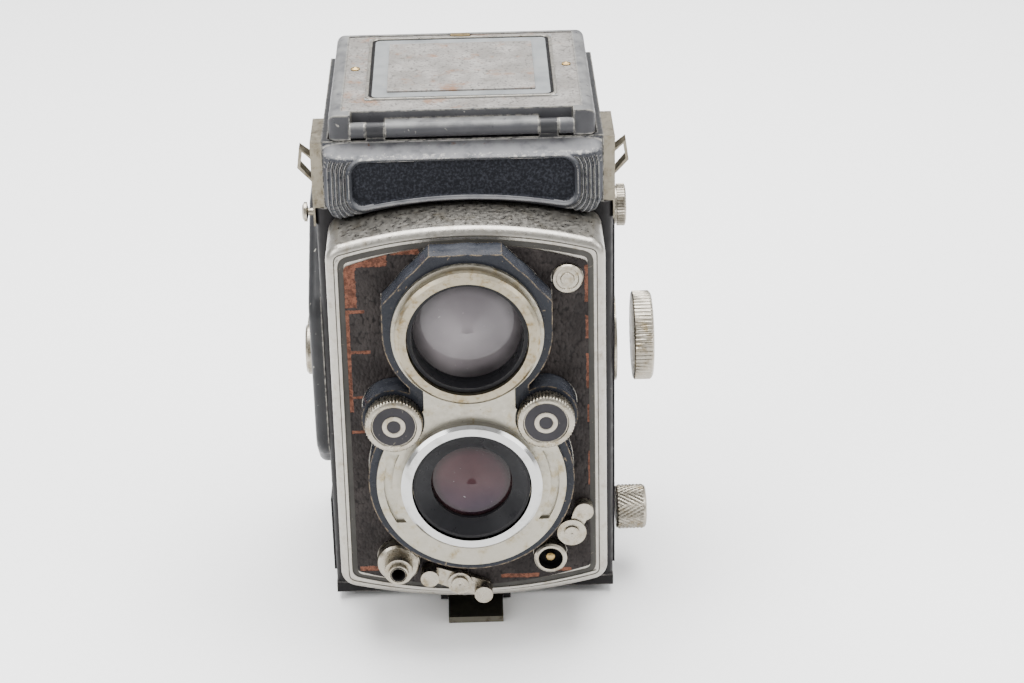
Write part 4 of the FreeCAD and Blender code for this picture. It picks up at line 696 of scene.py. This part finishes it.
def front_fittings():
    """Black insides of the flash socket, a black sheet of painted shade inside the release tube, and
    the socket's contact.
    """
    low, high = box("flash_socket")
    socket, _ = round_front("flash_socket")
    deep = low.y - high.y
    well, contact, tube_in, tube_out, tube_deep = 3.15, 1.15, 1.15, 1.7, 5.9
    lathe("flash_socket_inside", "front", socket,
          [(deep + 3.7, well), (deep + 1.05, well), (deep + 1.05, contact)],
          "matt_black", "lens_front", steps=48, closed=False, slot="dark_metal")
    lathe("flash_contact", "front", socket,
          [(deep + 1.1, 0), (deep + 1.1, contact), (deep + 3.0, contact), (deep + 3.25, 0.8),
           (deep + 3.3, 0)],
          "brass", "lens_front", steps=32, closed=False, slot="nickel")
    tube, _ = round_front("release_button")
    # A black sheet inside the release tube: painted shade of its deep bore.
    lathe("release_tube_painted_shade", "front", tube,
          [(-0.02, tube_out + 0.5), (-0.02, tube_out), (-tube_deep, tube_in), (-tube_deep, 0)],
          "matt_black", "release_button", steps=40, closed=False, slot="dark_metal")


# ---- knobs and dials

def focus_knob():
    middle, radius, end = round_side("focus_knob")
    start = end - 5.4
    lathe("focus_knob_rim", "right", middle,
          [(start, 0), (start, radius - 0.5), (start + 0.3, radius, 1), (end - 0.9, radius, 1),
           (end - 0.5, radius - 0.35), (end - 0.15, radius - 0.9), (end, radius - 2.2),
           (end - 0.5, radius - 2.8), (end - 0.5, 4.2), (end - 0.2, 3.8), (end - 0.2, 0)],
          "nickel", "focus_drive", ribs=64, depth=0.28, replaces=["focus_knob"], slot="nickel")


def spool_knobs():
    middle, radius, end = round_side("lower_spool_knob")
    grip_length, lip = 8.4, 0.4
    knurled("lower_knob_grip", "right", middle, radius, end - grip_length, end - lip, "nickel",
            "lower_knob", teeth=34, depth=0.4, rows=16, replaces=["lower_spool_knob"], slot="nickel")
    lathe("lower_knob_cap", "right", middle,
          [(end - 0.45, 0), (end - 0.45, radius - 0.45), (end - 0.1, radius - 0.9),
           (end, radius - 1.6), (end - 0.3, 2.0), (end - 0.3, 0)],
          "nickel", "lower_knob", slot="nickel")
    middle, radius, end = round_side("upper_spool_knob")
    start = end - 4.6
    lathe("upper_knob_grip", "right", middle,
          [(start, 0), (start, radius - 0.3), (start + 0.2, radius, 1), (start + 1.5, radius, 1),
           (start + 1.6, radius - 0.6), (start + 2.0, radius - 0.6), (start + 2.1, radius, 1),
           (end - 0.5, radius, 1), (end - 0.1, radius - 0.6), (end, radius - 1.2),
           (end - 0.2, 1.8), (end - 0.2, 0)],
          "nickel", "upper_knob", ribs=44, depth=0.24, replaces=["upper_spool_knob"], slot="nickel")


def front_dials():
    """Each dial's ribbed rim, dark ring, light ring and dark hub, from the outside in."""
    light_in, light_out = 1.8, 2.9
    for node in ("aperture_dial", "speed_dial"):
        middle, radius = round_front(node)
        lathe(f"{node}_rim", "front", middle,
              [(-4.4, 0), (-4.4, radius - 0.5), (-4.2, radius, 1), (-0.7, radius, 1),
               (-0.35, radius - 0.3), (-0.05, radius - 0.75), (-0.05, radius - 1.5),
               (-0.5, radius - 1.75), (-0.5, 0)],
              "nickel", node, ribs=52, depth=0.26, replaces=[node], slot="nickel")
        lathe(f"{node}_dark_ring", "front", middle,
              [(-0.6, light_out), (-0.42, light_out), (-0.42, radius - 1.9), (-0.6, radius - 1.9)],
              "dial_dark", node, slot="dark_metal")
        lathe(f"{node}_light_ring", "front", middle,
              [(-0.6, light_in), (-0.3, light_in), (-0.25, light_in + 0.2), (-0.25, light_out - 0.2),
               (-0.3, light_out), (-0.6, light_out)],
              "nickel", node, slot="nickel")
        lathe(f"{node}_hub", "front", middle, [(-0.6, 0), (-0.6, 1.75), (-0.4, 1.75), (-0.35, 0)],
              "dial_dark", node, slot="dark_metal")


# ---- taking lens

def lens_marks():
    """Generic ticks round the taking lens, set on the dark cone."""
    middle, _ = round_front("taking_front_cell")
    count, tick_half, highest = 40, 0.014, 0.45
    tick_in, short_out, long_out, sunk, slope = 12.4, 12.75, 13.0, 2.1, 0.75
    points, faces = [], []
    for i in range(count):
        angle = TURN * i / count
        if math.sin(angle) > highest:
            continue
        tick_out = long_out if i % 5 == 0 else short_out
        for side, radius in ((-1, tick_in), (1, tick_in), (1, tick_out), (-1, tick_out)):
            points.append(aimed("front", middle, (radius - tick_in) * slope - sunk, radius,
                                angle + side * tick_half))
        first = len(points) - 4
        faces.append((first, first + 1, first + 2, first + 3))
    solid("lens_ring_ticks", points, faces, "ink_white", "lens_front", slot="chrome")


# ---- back latch

def latch():
    """The latch plate, with curved finger grooves and a bright lip."""
    low, high = box("back_latch")
    columns, rows = 60, 90
    wide = columns + 1
    plate_top, lip_rise, lip_end, groove_start, rear_margin = 1.9, 0.25, 1.6, 2.2, 2.4
    groove_depth, groove_pitch, arc_behind = 0.28, 1.25, 16
    points = []
    for row in range(rows + 1):
        y = low.y + (high.y - rear_margin - low.y) * row / rows
        for column in range(wide):
            x = low.x + (high.x - low.x) * column / columns
            z = plate_top
            if y > low.y + groove_start:
                reach = math.hypot(x, y - (high.y + arc_behind))
                z -= groove_depth * (0.5 + 0.5 * math.cos(TURN * reach / groove_pitch))
            if y < low.y + lip_end:
                z = plate_top + lip_rise
            points.append((x, y, z))
    faces = [(r * wide + c, r * wide + c + 1, (r + 1) * wide + c + 1, (r + 1) * wide + c)
             for r in range(rows) for c in range(columns)]
    solid("latch_grooves", points, faces, "latch_grey", "back_latch", slot="worn_alloy")


# ---- CAD nodes that stay as they are

PLAIN = {
    "body_shell": "body_paint", "back_door": "body_paint", "hood_base": "side_paint",
    "hood_lid": "hood_paint", "gear_cover": "side_paint", "lens_housing": "housing_paint",
    "front_panel": "trim", "front_leather": "front_leather", "side_leathers": "side_leather",
    "back_leather": "side_leather", "lid_leathers": "lid_leather", "finder_flap": "flap_paint",
    "face_plate": "champagne", "viewing_barrel": "black_metal",
    "taking_front_cell": "black_metal", "front_standard": "matt_black",
    "release_collar": "nickel", "release_button": "nickel", "flash_socket": "nickel",
    "flash_lock_lever": "nickel", "sync_lever": "nickel", "front_screws": "nickel",
    "strap_plates": "dull_nickel", "back_latch": "latch_grey", "hinge_pins": "steel",
    "lid_catch_and_rivets": "brass", "winding_crank": "nickel", "crank_handle": "nickel",
    "counter_reset_button": "nickel", "wall_bushes": "nickel", "feet": "nickel",
    "tripod_bush": "nickel", "reflex_mirror": "mirror", "focusing_screen": "screen_glass",
    "mirror_box_frame": "matt_black", "parallax_mask": "matt_black", "film_gate": "matt_black",
    "pressure_plate": "steel", "take_up_spool": "matt_black", "lower_film_roller": "steel",
    "upper_film_roller": "steel", "left_hood_leaf": "side_paint", "right_hood_leaf": "side_paint",
    "rear_hood_leaf": "side_paint", "magnifier": "black_metal", "focus_camshaft": "steel",
    "idler_gear": "brass", "spool_drive_gear": "brass", "shutter_housing": "matt_black",
    "shutter_and_iris_blades": "steel", "inner_lens_elements": "screen_glass",
}


def bayonet_finish():
    """Bright chrome round the taking lens, yellowed dull plate round the finder lens."""
    finish = Finish("bayonet_finish", tone(232, 232, 230), 0.15, 1.0)
    between_lenses = 74.0
    upper = finish.step(finish.along("Z"), between_lenses - 1, between_lenses + 1)
    bright = finish.mix(finish.step(finish.noise(3, 5), 0.5, 0.8), tone(236, 236, 234),
                        tone(200, 198, 192))
    dull = finish.mix(finish.step(finish.noise(2.5, 6, 0.7), 0.45, 0.7), tone(192, 182, 160),
                      tone(150, 128, 86))
    finish.set("Base Color", finish.mix(upper, bright, dull))
    finish.set("Roughness", finish.sums("ADD", finish.sums("MULTIPLY", upper, 0.2), 0.15))
    finish.bump(finish.noise(0.6, 4), 0.01, 0.5)
    return finish.material


def paint_frame():
    special = {
        "taking_front_element": lens_glass("taking_glass", tone(14, 8, 11), tone(62, 32, 40),
                                           tone(44, 24, 52), (0, -62, 53.1), 10.4),
        "viewing_lens": lens_glass("viewing_glass", tone(44, 40, 42), tone(132, 126, 130),
                                   tone(112, 105, 108), (0, -61, 95.1), 13.5, haze=0.35),
        "lens_bayonets": bayonet_finish(),
    }
    for node, name in PLAIN.items():
        paint(node, MATERIALS[name])
    for node, material in special.items():
        paint(node, material)


# ---- stage, light and camera

def stage_and_light():
    bpy.ops.mesh.primitive_plane_add(size=6)
    floor = bpy.context.object
    floor.name = "floor"
    white, whiter = (0.9, 0.9, 0.9, 1), (0.95, 0.95, 0.95, 1)
    cloth = Finish("floor_white", white, 0.8)
    cloth.set("Base Color", cloth.mix(cloth.noise(2, 4), white, whiter))
    floor.data.materials.append(cloth.material)
    world = bpy.data.worlds.new("studio")
    bpy.context.scene.world = world
    world.use_nodes = True
    world.node_tree.nodes["Background"].inputs[0].default_value = (1, 1, 1, 1)
    world.node_tree.nodes["Background"].inputs[1].default_value = 0.85
    target = Vector((0, 0, 0.07))
    for name, place, size, power in (("top", (0, 0.15, 0.9), 0.9, 30),
                                     ("left", (-0.8, -0.6, 0.7), 0.7, 10),
                                     ("right", (0.9, -0.3, 0.6), 0.6, 6)):
        lamp = bpy.data.lights.new(name, "AREA")
        lamp.size = size
        lamp.energy = power
        thing = bpy.data.objects.new(name, lamp)
        thing.location = place
        thing.rotation_euler = (target - Vector(place)).to_track_quat("-Z", "Y").to_euler()
        bpy.context.scene.collection.objects.link(thing)


def photo_camera():
    """A camera about 0.7 m away that looks down on the front of the camera."""
    place = Vector((2.92, -600.0, 358.94)) * MM
    pitch, yaw, roll = math.radians(26.29), math.radians(0.86), math.radians(-1.18)
    ahead = Vector((math.sin(yaw) * math.cos(pitch), math.cos(yaw) * math.cos(pitch), -math.sin(pitch)))
    level = Vector((math.cos(yaw), -math.sin(yaw), 0))
    over = level.cross(ahead)
    right = math.cos(roll) * level + math.sin(roll) * over
    up = -math.sin(roll) * level + math.cos(roll) * over
    data = bpy.data.cameras.new("camera")
    data.sensor_width = 36
    data.lens = 85.18
    data.clip_start, data.clip_end = 0.01, 20
    thing = bpy.data.objects.new("camera", data)
    turned = Matrix((right, up, -ahead)).transposed().to_4x4()
    thing.matrix_world = Matrix.Translation(place) @ turned
    bpy.context.scene.collection.objects.link(thing)
    bpy.context.scene.camera = thing


paint_frame()
name_housing()
panel_lines()
flap_border()
front_fittings()
focus_knob()
spool_knobs()
front_dials()
lens_marks()
latch()
stage_and_light()
photo_camera()
